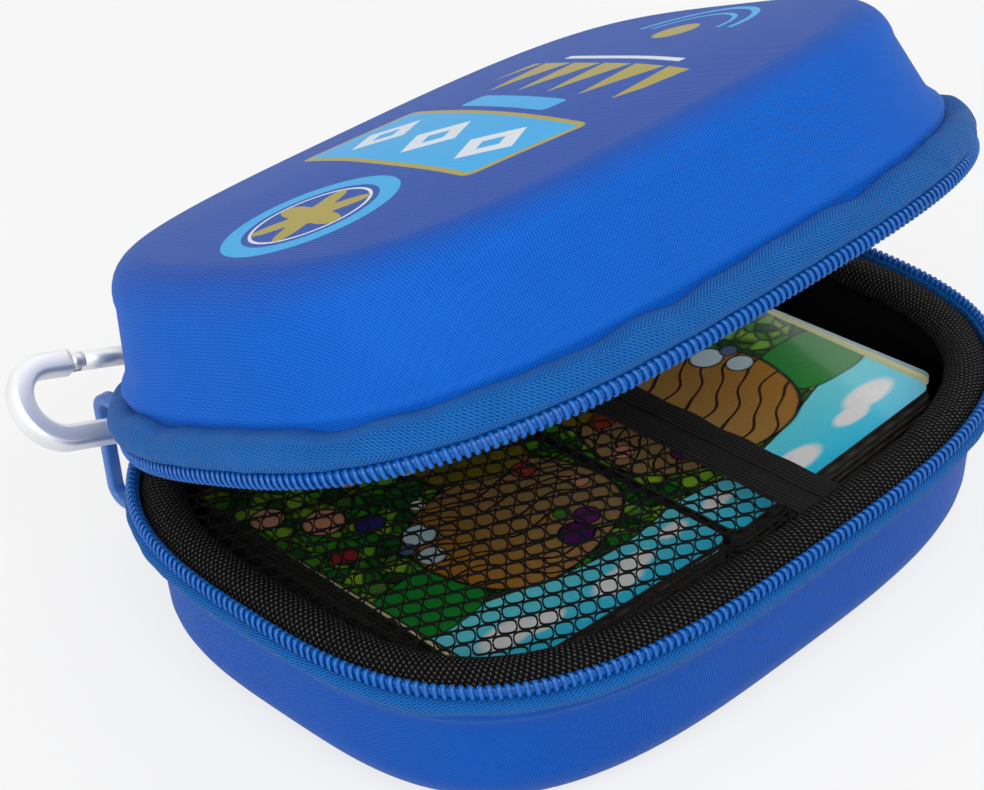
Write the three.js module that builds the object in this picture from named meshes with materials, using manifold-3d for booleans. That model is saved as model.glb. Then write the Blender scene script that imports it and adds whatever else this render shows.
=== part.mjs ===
// Zipped hard card case, hinged along its back, with two decks of cards, a net pocket, a carry ring
// and a snap hook. Millimetres, +Z up; the underside lies on z = 0 and the hinge runs along the back, +Y.
import * as THREE from 'three';
import { mergeVertices } from 'three/addons/utils/BufferGeometryUtils.js';
import Module from 'manifold-3d';

const wasm = await Module();
wasm.setup();

// clearances shared by the pieces
const SEAT_GAP = 0.3;
const CUT_OVERRUN = 1;

// outline of the zip line, seen from above: a rounded oblong with gently bowed sides, round the decks
const DECK_ROOM = 25;
const OUTLINE_POWER_SHARE = 3.1;
const HINGE_HALF = 38;
const GARAGE_LENGTH = 16;
const MAIN_STEPS_SHARE = 36;
const HINGE_STEPS_SHARE = 6;
const GARAGE_STEPS_SHARE = 2;

// moulded base and lid
const BASE_DEPTH = 36.6;
const LID_HEIGHT = 34.8;
const LID_CROWN = 2.6;
const SHELL_WALL = 2.7;
const SHELL_INSET = 3.3;
const RIM_DROP = 5.5;
const BASE_LEAN = 1.6;
const BASE_FILLET = 12;
const LID_LEAN = 6;
const LID_FILLET = 9;
const LINING = 0.7;
const OPEN_ANGLE_SHARE = 20.8;
const CROWN_SHARES = [0.6, 0.3];
const FILLET_STEPS_SHARE = 3;

// zip chain, tapes and rim binding
const PARTING_GAP = 1.6;
const COIL_HALF_WIDTH = 0.9;
const COIL_HALF_HEIGHT = 0.6;
const BINDING_INSET = 4.4;
const BINDING_HALF_WIDTH = 3;
const BINDING_HALF_HEIGHT = 2.9;
const BINDING_DROP = 2.3;
const TAPE_BULGE = 1.3;
const BASE_TAPE_HEIGHT = 6;
const LID_TAPE_HEIGHT = 7.6;
const TAPE_INNER_INSET = 1.1;
const TAPE_BACK_DROP = 4.6;
const TAPE_SECTION_SHARES = [[0.3, 0], [0.9, 0.2], [1, 0.45], [0.6, 0.7], [-0.6, 0.9]];
const HINGE_THICK = 1;
const HINGE_SKIN = 0.1;
const HINGE_FOLD_GAP = 0.3;
const HINGE_SECTION_SHARES = [0.8, 1.05, 1.15];

// cards and net
const CARD_WIDTH = 63;
const CARD_HEIGHT = 88;
const CARD_CORNER = 3;
const CARD_THICK = 0.4;
const CARD_DROP = 9;
const DECK_HALF_GAP = 1.2;
const DECK_TILT_SHARE = 3;
const NET_DROP = 2.2;
const NET_THICK = 0.6;
const NET_CELL = 5.5;
const NET_CORD = 0.8;
const NET_BORDER = 2.4;
const BAND_START = 3;
const BAND_WIDTH = 12.5;
const BAND_THICK = 1.2;

// carry ring and its webbing tab
const RING_FROM_END = 27.5;
const RING_HEIGHT = 28.4;
const RING_REACH = 14.4;
const RING_OUT = 17.87;
const RING_THICK = 2.4;
const RING_WIDE = 3.2;
const RING_BEVEL = 0.6;
const RING_CORNER = 4.5;
const RING_TOP_DROP = 0.1;
const TAB_HEIGHT = 11;
const TAB_THICK = 1;
const TAB_DROP = 10;
const TAB_WING = 5.8;
const TAB_ROOT = 1.6;
const TAB_PLAY = 0.45;

// snap hook
const HOOK_LENGTH = 50;
const HOOK_WIDTH = 21.5;
const HOOK_BAR = 5;
const HOOK_THICK = 4.6;
const HOOK_BAR_CORNER = 1.5;
const HOOK_AHEAD = 23;
const HOOK_TILT_SHARE = 19;
const HOOK_LEAN_SHARE = 48;
const HOOK_LIFT = 4.5;
const NOSE_AHEAD = 6;
const GATE_RADIUS = 2.1;
const TONGUE_THICK = 1.8;
const TONGUE_LENGTH = 4.6;
const TONGUE_ROOT = 2.3;
const TONGUE_HEIGHT = 3.2;
const TONGUE_CLEAR = 0.9;
const NOSE_TONGUE = 2.6;
const RIVET_RADIUS = 0.8;
const RIVET_HEAD = 1.3;
const RIVET_HEAD_THICK = 0.5;
const RIVET_HEAD_GAP = 0.1;
const RIVET_PLAY = 0.05;
const SPRING_RADIUS = 0.8;
const SPRING_LENGTH = 5;

// zip slider and its pull
const SLIDER_LENGTH = 9.5;
const SLIDER_HEIGHT = 7.2;
const SLIDER_PLATE = 1.1;
const SLIDER_INNER_LENGTH = 8.6;
const SLIDER_STAND = 1.7;
const BAIL_WIRE = 0.6;
const BARREL_RADIUS = 1.5;
const BARREL_WIDTH = 3.6;
const BARREL_PLAY = 0.1;
const PULL_LENGTH = 21;
const PULL_WIDTH = 7;
const PULL_THICK = 1.6;

// places and levels worked out from the sizes above
const HALF_LENGTH = CARD_WIDTH + DECK_ROOM;
const HALF_DEPTH = CARD_HEIGHT / 2 + DECK_ROOM;
const RING_X = HALF_LENGTH - RING_FROM_END;
const COIL_Z = BASE_DEPTH;
const PARTING_Z = COIL_Z + PARTING_GAP / 2;
const LID_COIL_Z = COIL_Z + PARTING_GAP;
const FLOOR_Z = SHELL_WALL + SEAT_GAP + LINING;
const LINING_INSET = SHELL_INSET + SHELL_WALL + SEAT_GAP;
const GARAGE_END = HINGE_HALF + GARAGE_LENGTH;

// colours from the photograph
const BLUE_SHELL = new THREE.MeshStandardMaterial({ color: 0x0b4fc0, roughness: 0.8, metalness: 0 });
const BLUE_TAPE = new THREE.MeshStandardMaterial({ color: 0x0d66c2, roughness: 0.85, metalness: 0 });
const BLUE_COIL = new THREE.MeshStandardMaterial({ color: 0x0b5fd0, roughness: 0.4, metalness: 0 });
const BLUE_RING = new THREE.MeshStandardMaterial({ color: 0x3a76cc, roughness: 0.35, metalness: 0 });
const BLACK_LINING = new THREE.MeshStandardMaterial({ color: 0x111114, roughness: 0.95, metalness: 0 });
const BLACK_WEAVE = new THREE.MeshStandardMaterial({ color: 0x1b1b1d, roughness: 0.9, metalness: 0 });
const ALUMINIUM = new THREE.MeshStandardMaterial({ color: 0xc9cbd0, roughness: 0.25, metalness: 1 });
const CARD_PICTURE = new THREE.MeshStandardMaterial({ color: 0x4d8a32, roughness: 0.4, metalness: 0 });
const CARD_YELLOW = new THREE.MeshStandardMaterial({ color: 0xd9dd72, roughness: 0.4, metalness: 0 });
const CARD_BLUE = new THREE.MeshStandardMaterial({ color: 0x49a8d8, roughness: 0.4, metalness: 0 });
const CARD_STACK = new THREE.MeshStandardMaterial({ color: 0xd8d5cc, roughness: 0.7, metalness: 0 });

const caseGroup = new THREE.Group();

function radians(degrees) {
  return THREE.MathUtils.degToRad(degrees);
}

function addMesh(parent, name, geometry, material) {
  const mesh = new THREE.Mesh(geometry, material);
  mesh.name = name;
  parent.add(mesh);
  return mesh;
}

// a point of the outline, with its outward normal, at the angle parameter t
function station(t) {
  const n = OUTLINE_POWER_SHARE;
  const c = Math.cos(t);
  const s = Math.sin(t);
  const xShare = Math.sign(c) * Math.abs(c) ** (2 / n);
  const yShare = Math.sign(s) * Math.abs(s) ** (2 / n);
  const gx = Math.sign(xShare) * Math.abs(xShare) ** (n - 1) / HALF_LENGTH;
  const gy = Math.sign(yShare) * Math.abs(yShare) ** (n - 1) / HALF_DEPTH;
  const size = Math.hypot(gx, gy);
  return { x: HALF_LENGTH * xShare, y: HALF_DEPTH * yShare, nx: gx / size, ny: gy / size };
}

// the angle parameter at which the back side reaches x
function backAngle(x) {
  const c = Math.sign(x) * (Math.abs(x) / HALF_LENGTH) ** (OUTLINE_POWER_SHARE / 2);
  return Math.acos(c);
}

// stations evenly spaced along the outline from one angle to another, without the last one
function spacedStations(from, to, steps) {
  const fine = 400;
  const points = [];
  for (let i = 0; i <= fine; i++) points.push(station(from + (to - from) * i / fine));
  const along = [0];
  for (let i = 1; i <= fine; i++) {
    along.push(along[i - 1] + Math.hypot(points[i].x - points[i - 1].x, points[i].y - points[i - 1].y));
  }
  const list = [];
  let k = 0;
  for (let i = 0; i < steps; i++) {
    const goal = along[fine] * i / steps;
    while (along[k + 1] < goal) k++;
    const share = (goal - along[k]) / (along[k + 1] - along[k]);
    list.push(station(from + (to - from) * (k + share) / fine));
  }
  return list;
}

// the whole outline, clockwise from the end of the slider's garage: main run, hinge, garage
const TURN = 2 * Math.PI;
const mainEndAngle = backAngle(-HINGE_HALF - SEAT_GAP);
const mainRun = spacedStations(backAngle(GARAGE_END), mainEndAngle - TURN, MAIN_STEPS_SHARE);
const mainEnd = station(mainEndAngle);
const hingeRun = spacedStations(backAngle(-HINGE_HALF), backAngle(HINGE_HALF), HINGE_STEPS_SHARE);
const hingeEnd = station(backAngle(HINGE_HALF));
const garageRun = spacedStations(backAngle(HINGE_HALF), backAngle(GARAGE_END), GARAGE_STEPS_SHARE);
const wholeOutline = [...mainRun, mainEnd, ...hingeRun, ...garageRun];

// a closed body from rows of points: ring after ring, with wrap-around, end caps or centre points
function bodyFromRows(rows, {
  wrapRows = false, wrapColumns = true, capColumns = false, centres = false,
} = {}) {
  const columns = rows[0].length;
  const positions = [];
  for (const row of rows) for (const p of row) positions.push(...p);
  const index = [];
  const at = (i, j) => (i % rows.length) * columns + (j % columns);
  const rowSpans = wrapRows ? rows.length : rows.length - 1;
  const columnSpans = wrapColumns ? columns : columns - 1;
  for (let i = 0; i < rowSpans; i++) {
    for (let j = 0; j < columnSpans; j++) {
      index.push(at(i, j), at(i + 1, j), at(i + 1, j + 1), at(i, j), at(i + 1, j + 1), at(i, j + 1));
    }
  }
  if (centres) {
    for (const [row, flip] of [[0, false], [rows.length - 1, true]]) {
      const middle = positions.length / 3;
      positions.push(0, 0, rows[row][0][2]);
      for (let j = 0; j < columns; j++) {
        if (flip) index.push(middle, at(row, j + 1), at(row, j));
        else index.push(middle, at(row, j), at(row, j + 1));
      }
    }
  }
  if (capColumns) {
    const flat = rows.map((row) => new THREE.Vector2(row.inset, row.drop));
    const faces = THREE.ShapeUtils.triangulateShape(flat, []);
    const clockwise = THREE.ShapeUtils.isClockWise(flat);
    for (const [column, first] of [[0, true], [columns - 1, false]]) {
      for (const [a, b, c] of faces) {
        if (first === clockwise) index.push(at(a, column), at(b, column), at(c, column));
        else index.push(at(a, column), at(c, column), at(b, column));
      }
    }
  }
  const geometry = new THREE.BufferGeometry();
  geometry.setAttribute('position', new THREE.Float32BufferAttribute(positions, 3));
  geometry.setIndex(index);
  return facingOut(geometry);
}

// turns the faces round when the body would enclose a negative volume
function facingOut(geometry) {
  const p = geometry.getAttribute('position');
  const index = geometry.getIndex();
  const a = new THREE.Vector3();
  const b = new THREE.Vector3();
  const c = new THREE.Vector3();
  let volume = 0;
  for (let i = 0; i < index.count; i += 3) {
    a.fromBufferAttribute(p, index.getX(i));
    b.fromBufferAttribute(p, index.getX(i + 1));
    c.fromBufferAttribute(p, index.getX(i + 2));
    volume += a.dot(b.cross(c));
  }
  if (volume < 0) {
    for (let i = 0; i < index.count; i += 3) {
      const keep = index.getX(i + 1);
      index.setX(i + 1, index.getX(i + 2));
      index.setX(i + 2, keep);
    }
  }
  geometry.computeVertexNormals();
  return geometry;
}

// one row of points: the stations moved inwards by inset, at a distance from the coil line's level
function row(stations, inset, drop, level, up) {
  const points = stations.map((s) => [s.x - inset * s.nx, s.y - inset * s.ny, level + up * drop]);
  points.inset = inset;
  points.drop = drop;
  return points;
}

// a band with a closed profile of [inset, drop] points along the stations
function band(stations, profile, level, up, closed) {
  const rows = profile.map(([inset, drop]) => row(stations, inset, drop, level, up));
  return bodyFromRows(rows, { wrapRows: true, wrapColumns: closed, capColumns: !closed });
}

// rows of a wall from the rim to the flat, at an offset inside the outer surface
function wallRows({ depth, lean, fillet, crown }, offset, rim, level, up) {
  const rows = [];
  const radius = fillet - offset;
  const flatDrop = depth - offset;
  const inset = SHELL_INSET + offset;
  rows.push(row(wholeOutline, inset, rim, level, up));
  for (let i = 0; i <= FILLET_STEPS_SHARE; i++) {
    const a = Math.PI / 2 * i / FILLET_STEPS_SHARE;
    const innerInset = inset + lean + radius * (1 - Math.cos(a));
    rows.push(row(wholeOutline, innerInset, flatDrop - radius + radius * Math.sin(a), level, up));
  }
  if (crown > 0) {
    const edge = rows[rows.length - 1];
    for (const share of CROWN_SHARES) {
      const z = level + up * (flatDrop + crown * (1 - share * share));
      rows.push(edge.map(([x, y]) => [x * share, y * share, z]));
    }
  }
  return rows;
}

// an open shell of the given thickness, its outer surface at the offset
function openShell(form, offset, thick, rim, level, up) {
  const outer = wallRows(form, offset, rim, level, up).reverse();
  const inner = wallRows(form, offset + thick, rim, level, up);
  return bodyFromRows([...outer, ...inner], { centres: true });
}

const BASE_FORM = { depth: BASE_DEPTH, lean: BASE_LEAN, fillet: BASE_FILLET, crown: 0 };
const LID_FORM = { depth: LID_HEIGHT, lean: LID_LEAN, fillet: LID_FILLET, crown: LID_CROWN };

// oval section of the padded binding, as [inset, drop] points
function bindingProfile() {
  const points = [];
  const count = 8;
  for (let i = 0; i < count; i++) {
    const a = TURN * (i + 0.5) / count;
    const reach = 1 / Math.cos(Math.PI / count);
    const inset = BINDING_INSET + BINDING_HALF_WIDTH * THREE.MathUtils.clamp(reach * Math.cos(a), -1, 1);
    const drop = BINDING_DROP + BINDING_HALF_HEIGHT * THREE.MathUtils.clamp(reach * Math.sin(a), -1, 1);
    points.push([inset, drop]);
  }
  return points;
}

// how far a wall has leaned inwards at a distance from the zip line's level
function wallLean(form, drop) {
  return form.lean * (drop - RIM_DROP) / (form.depth - form.fillet - RIM_DROP);
}

// section of the belt of zip tape that stands proud of the shell
function tapeProfile(height, form) {
  const top = COIL_HALF_HEIGHT + SEAT_GAP;
  const seatInset = SHELL_INSET - SEAT_GAP;
  return [
    [TAPE_INNER_INSET, top],
    ...TAPE_SECTION_SHARES.map(([out, down]) => [-TAPE_BULGE * out, top + height * down]),
    [seatInset + wallLean(form, top + height), top + height],
    [seatInset, RIM_DROP + SEAT_GAP],
    [TAPE_INNER_INSET, TAPE_BACK_DROP],
  ];
}

// section of the hinge strip, hugging the fold and then the shell's wall
function hingeProfile(height, form) {
  const fold = (HINGE_FOLD_GAP - PARTING_GAP) / 2;
  const [straightShare, bendShare, endShare] = HINGE_SECTION_SHARES;
  const end = height * endShare;
  const seatInset = SHELL_INSET - SEAT_GAP;
  const endInset = seatInset + wallLean(form, end);
  return [
    [HINGE_SKIN + HINGE_THICK, fold],
    [HINGE_SKIN, fold],
    [HINGE_SKIN, height * straightShare],
    [endInset - HINGE_THICK, height * bendShare],
    [endInset, end],
    [seatInset, RIM_DROP + SEAT_GAP],
    [HINGE_SKIN + HINGE_THICK, TAPE_BACK_DROP],
  ];
}

// section of one side of the zip coil
function coilProfile() {
  const points = [];
  const count = 6;
  for (let i = 0; i < count; i++) {
    const a = TURN * i / count;
    points.push([COIL_HALF_WIDTH * Math.cos(a), COIL_HALF_HEIGHT * Math.sin(a) / Math.sin(Math.PI / 3)]);
  }
  return points;
}

const chainStations = [...mainRun, mainEnd];
const hingeStations = [...hingeRun, hingeEnd];

// one half of the case: shell, lining, binding, zip tape, zip coil and hinge strip
function halfCase(parent, prefix, form, level, up, tapeHeight) {
  const liningOffset = SHELL_WALL + SEAT_GAP;
  addMesh(parent, `${prefix}_shell`, openShell(form, 0, SHELL_WALL, RIM_DROP, level, up), BLUE_SHELL);
  const lining = openShell(form, liningOffset, LINING, RIM_DROP, level, up);
  addMesh(parent, `${prefix}_lining`, lining, BLACK_LINING);
  const binding = band(wholeOutline, bindingProfile(), level, up, true);
  addMesh(parent, `${prefix}_rim_binding`, binding, BLACK_WEAVE);
  const tape = band(chainStations, tapeProfile(tapeHeight, form), level, up, false);
  addMesh(parent, `${prefix}_zip_tape`, tape, BLUE_TAPE);
  addMesh(parent, `${prefix}_zip_coil`, band(chainStations, coilProfile(), level, up, false), BLUE_COIL);
  const strip = band(hingeStations, hingeProfile(tapeHeight, form), level, up, false);
  addMesh(parent, `${prefix}_hinge_strip`, strip, BLUE_TAPE);
}

halfCase(caseGroup, 'base', BASE_FORM, COIL_Z, -1, BASE_TAPE_HEIGHT);

// the lid is built closed and turned open about the fold of the hinge strip
const lidGroup = new THREE.Group();
lidGroup.rotation.x = -radians(OPEN_ANGLE_SHARE);
lidGroup.position.set(0, HALF_DEPTH, PARTING_Z);
const lidInner = new THREE.Group();
lidInner.position.set(0, -HALF_DEPTH, -PARTING_Z);
lidGroup.add(lidInner);
caseGroup.add(lidGroup);
halfCase(lidInner, 'lid', LID_FORM, LID_COIL_Z, 1, LID_TAPE_HEIGHT);

// rounded oblong outline, its middle on the origin
function roundedOblong(ShapeClass, width, height, corner) {
  const outline = new ShapeClass();
  const x = width / 2 - corner;
  const y = height / 2 - corner;
  outline.absarc(x, y, corner, 0, Math.PI / 2, false);
  outline.absarc(-x, y, corner, Math.PI / 2, Math.PI, false);
  outline.absarc(-x, -y, corner, Math.PI, 1.5 * Math.PI, false);
  outline.absarc(x, -y, corner, 1.5 * Math.PI, TURN, false);
  return outline;
}

// a flat piece of even thickness cut to an outline
function cutSheet(outline, thick, curveSegments) {
  return new THREE.ExtrudeGeometry(outline, { depth: thick, bevelEnabled: false, curveSegments });
}

// a deck leans on the rounded bottom with its outer edge, so its inner edge lies lower
function addDeck(prefix, side) {
  const tilt = radians(DECK_TILT_SHARE);
  const group = new THREE.Group();
  const top = COIL_Z - CARD_DROP;
  group.position.set(side * (DECK_HALF_GAP + CARD_WIDTH * Math.cos(tilt)), 0, top);
  group.rotation.y = -side * tilt;
  caseGroup.add(group);
  const innerTop = top - CARD_WIDTH * Math.sin(tilt);
  const total = (innerTop - FLOOR_Z - SEAT_GAP) / Math.cos(tilt);
  const looseCards = [['picture', CARD_PICTURE, 0], ['yellow', CARD_YELLOW, 1], ['blue', CARD_BLUE, 2]];
  const shape = roundedOblong(THREE.Shape, CARD_WIDTH, CARD_HEIGHT, CARD_CORNER);
  const step = CARD_THICK + SEAT_GAP;
  const place = (geometry, low) => geometry.translate(-side * CARD_WIDTH / 2, 0, low);
  for (const [name, material, count] of looseCards) {
    const card = cutSheet(shape, CARD_THICK, 2);
    addMesh(group, `${prefix}_card_${name}`, place(card, -CARD_THICK - count * step), material);
  }
  const stackHeight = total - looseCards.length * step;
  const stack = cutSheet(shape, stackHeight, 2);
  addMesh(group, `${prefix}_card_stack`, place(stack, -total), CARD_STACK);
}

addDeck('left', -1);
addDeck('right', 1);

// where a point lies inside the outline moved inwards, for cutting the net to shape
function insetOutline(inset) {
  return wholeOutline.map((s) => [s.x - inset * s.nx, s.y - inset * s.ny]);
}

function insidePolygon(polygon, x, y) {
  let inside = false;
  for (let i = 0, j = polygon.length - 1; i < polygon.length; j = i++) {
    const [xi, yi] = polygon[i];
    const [xj, yj] = polygon[j];
    if ((yi > y) !== (yj > y) && x < (xj - xi) * (y - yi) / (yj - yi) + xi) inside = !inside;
  }
  return inside;
}

// net of six-sided meshes, held by the binding on three sides and by the band on the fourth
function netGeometry() {
  const inset = BINDING_INSET + BINDING_HALF_WIDTH + SEAT_GAP;
  const edgeX = BAND_START - SEAT_GAP;
  const polygon = insetOutline(inset).filter(([x]) => x < edgeX);
  const reach = HALF_DEPTH - inset;
  const start = polygon.findIndex(([x, y], i) => y < 0 && polygon[(i + 1) % polygon.length][0] < x
    && polygon[(i - 1 + polygon.length) % polygon.length][1] > 0);
  const ordered = [...polygon.slice(start), ...polygon.slice(0, start)];
  const outline = new THREE.Shape();
  outline.moveTo(edgeX, -reach);
  for (const [x, y] of ordered) outline.lineTo(x, y);
  outline.lineTo(edgeX, reach);
  const border = insetOutline(inset + NET_BORDER);
  const pitchY = NET_CELL * Math.sqrt(3) / 2;
  const radius = (NET_CELL - NET_CORD) / Math.sqrt(3);
  let odd = false;
  for (let y = -reach; y <= reach; y += pitchY) {
    odd = !odd;
    const firstX = edgeX - NET_BORDER - radius - (odd ? 0 : NET_CELL / 2);
    for (let x = firstX; x > -HALF_LENGTH; x -= NET_CELL) {
      const corners = [];
      for (let k = 0; k < 6; k++) {
        const a = Math.PI / 6 + k * Math.PI / 3;
        corners.push([x + radius * Math.cos(a), y + radius * Math.sin(a)]);
      }
      if (!corners.every(([px, py]) => insidePolygon(border, px, py))) continue;
      outline.holes.push(new THREE.Path(corners.map(([px, py]) => new THREE.Vector2(px, py))));
    }
  }
  const net = cutSheet(outline, NET_THICK, 12);
  return net.translate(0, 0, COIL_Z - NET_DROP);
}

addMesh(caseGroup, 'pocket_net', netGeometry(), BLACK_WEAVE);

// elastic band that hems the net across the middle
const bandLength = 2 * (HALF_DEPTH - BINDING_INSET - BINDING_HALF_WIDTH - SEAT_GAP) - SEAT_GAP;
const bandGeometry = new THREE.BoxGeometry(BAND_WIDTH, bandLength, BAND_THICK);
bandGeometry.translate(BAND_START + BAND_WIDTH / 2, 0, COIL_Z - NET_DROP + NET_THICK / 2);
addMesh(caseGroup, 'net_hem_band', bandGeometry, BLACK_WEAVE);

// solids of the boolean library, to and from three.js geometry
function toSolid(geometry) {
  geometry.deleteAttribute('normal');
  geometry.deleteAttribute('uv');
  const merged = mergeVertices(geometry);
  const mesh = new wasm.Mesh({
    numProp: 3,
    vertProperties: new Float32Array(merged.getAttribute('position').array),
    triVerts: new Uint32Array(merged.getIndex().array),
  });
  return new wasm.Manifold(mesh);
}

function toGeometry(solid) {
  const mesh = solid.getMesh();
  const geometry = new THREE.BufferGeometry();
  geometry.setAttribute('position', new THREE.BufferAttribute(new Float32Array(mesh.vertProperties), 3));
  geometry.setIndex(new THREE.BufferAttribute(new Uint32Array(mesh.triVerts), 1));
  geometry.computeVertexNormals();
  return geometry;
}

// carry ring: a rounded oblong loop that stands upright behind the case
const ringFoot = station(backAngle(-RING_X));
const ringOuterY = ringFoot.y + RING_OUT;
const ringInnerY = ringOuterY - RING_REACH;
const ringTop = COIL_Z + RING_TOP_DROP;
const ringMidZ = ringTop - RING_HEIGHT / 2;
const ringShape = roundedOblong(THREE.Shape, RING_REACH + RING_THICK, RING_HEIGHT, RING_CORNER);
const windowWidth = RING_REACH - RING_THICK;
const windowHeight = RING_HEIGHT - 2 * RING_THICK;
ringShape.holes.push(roundedOblong(THREE.Path, windowWidth, windowHeight, RING_CORNER - RING_THICK));
const ringGeometry = new THREE.ExtrudeGeometry(ringShape, {
  depth: RING_WIDE - 2 * RING_BEVEL, curveSegments: 3,
  bevelThickness: RING_BEVEL, bevelSize: RING_BEVEL, bevelOffset: -RING_BEVEL, bevelSegments: 2,
});
ringGeometry.translate(0, 0, -RING_WIDE / 2 + RING_BEVEL);
ringGeometry.rotateX(Math.PI / 2);
ringGeometry.rotateZ(Math.PI / 2);
ringGeometry.translate(-RING_X, (ringOuterY + ringInnerY) / 2, ringMidZ);
addMesh(caseGroup, 'carry_ring', ringGeometry, BLUE_RING);

// webbing tab, sewn to the back wall and folded round the ring's inner bar
function tabGeometry() {
  const inset = SHELL_INSET + wallLean(BASE_FORM, TAB_DROP) - SEAT_GAP;
  const base = new THREE.Vector2(ringFoot.x - inset * ringFoot.nx, ringFoot.y - inset * ringFoot.ny);
  const tangent = new THREE.Vector2(ringFoot.ny, -ringFoot.nx);
  const outward = new THREE.Vector2(ringFoot.nx, ringFoot.ny);
  const bar = new THREE.Vector2(-RING_X, ringInnerY);
  const hole = RING_WIDE / 2 + TAB_PLAY;
  const outer = hole + TAB_THICK;
  const toward = bar.clone().sub(base).angle();
  const shape = new THREE.Shape();
  const pointAt = (along, out) => base.clone().addScaledVector(tangent, along)
    .addScaledVector(outward, out);
  const points = [pointAt(TAB_WING, 0), pointAt(TAB_WING, TAB_THICK), pointAt(outer, TAB_ROOT)];
  const steps = 8;
  for (let i = 0; i <= steps; i++) {
    const a = toward - Math.PI / 2 + Math.PI * i / steps;
    points.push(new THREE.Vector2(bar.x + outer * Math.cos(a), bar.y + outer * Math.sin(a)));
  }
  points.push(pointAt(-outer, TAB_ROOT), pointAt(-TAB_WING, TAB_THICK), pointAt(-TAB_WING, 0));
  shape.setFromPoints(points);
  const eye = new THREE.Path();
  eye.absarc(bar.x, bar.y, hole, 0, TURN, true);
  shape.holes.push(eye);
  return cutSheet(shape, TAB_HEIGHT, 8).translate(0, 0, COIL_Z - TAB_DROP - TAB_HEIGHT);
}

addMesh(caseGroup, 'ring_tab', tabGeometry(), BLUE_TAPE);

// snap hook, drawn flat with u along its length and w up, then hung on the ring's top bar, leaning back
const hookGroup = new THREE.Group();
const hookPivotZ = ringTop - RING_THICK / 2;
const hookY = ringOuterY - HOOK_THICK / 2;
hookGroup.position.set(-RING_X, hookY, hookPivotZ);
hookGroup.rotation.set(-radians(HOOK_LEAN_SHARE), radians(HOOK_TILT_SHARE), 0, 'YXZ');
caseGroup.add(hookGroup);
const gateW = Math.hypot(RING_THICK, RING_WIDE) / 2 + HOOK_BAR / 2 + HOOK_LIFT;
const spineW = gateW - HOOK_WIDTH + HOOK_BAR;
const bendRadius = (gateW - spineW) / 2;
const frontU = HOOK_AHEAD - HOOK_BAR / 2 - bendRadius;
const rearU = HOOK_AHEAD - HOOK_LENGTH + HOOK_BAR / 2 + bendRadius;

// u points to the left of the case, so it is drawn along -X
function hookPoint(u, w) {
  return new THREE.Vector3(-u, 0, w);
}

class HookPath extends THREE.Curve {
  constructor() {
    super();
    this.runs = [
      frontU - NOSE_AHEAD,
      Math.PI * bendRadius,
      frontU - rearU,
      Math.PI * bendRadius,
    ];
    this.total = this.runs.reduce((sum, run) => sum + run, 0);
  }

  getPoint(share) {
    let along = share * this.total;
    const middle = (gateW + spineW) / 2;
    if (along <= this.runs[0]) return hookPoint(NOSE_AHEAD + along, gateW);
    along -= this.runs[0];
    if (along <= this.runs[1]) {
      const a = Math.PI / 2 - along / bendRadius;
      return hookPoint(frontU + bendRadius * Math.cos(a), middle + bendRadius * Math.sin(a));
    }
    along -= this.runs[1];
    if (along <= this.runs[2]) return hookPoint(frontU - along, spineW);
    along -= this.runs[2];
    const a = -Math.PI / 2 - along / bendRadius;
    return hookPoint(rearU + bendRadius * Math.cos(a), middle + bendRadius * Math.sin(a));
  }
}

function plate(length, height, thick) {
  return new THREE.BoxGeometry(length, thick, height);
}

function pin(radius, length, sides) {
  return new THREE.CylinderGeometry(radius, radius, length, sides);
}

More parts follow.
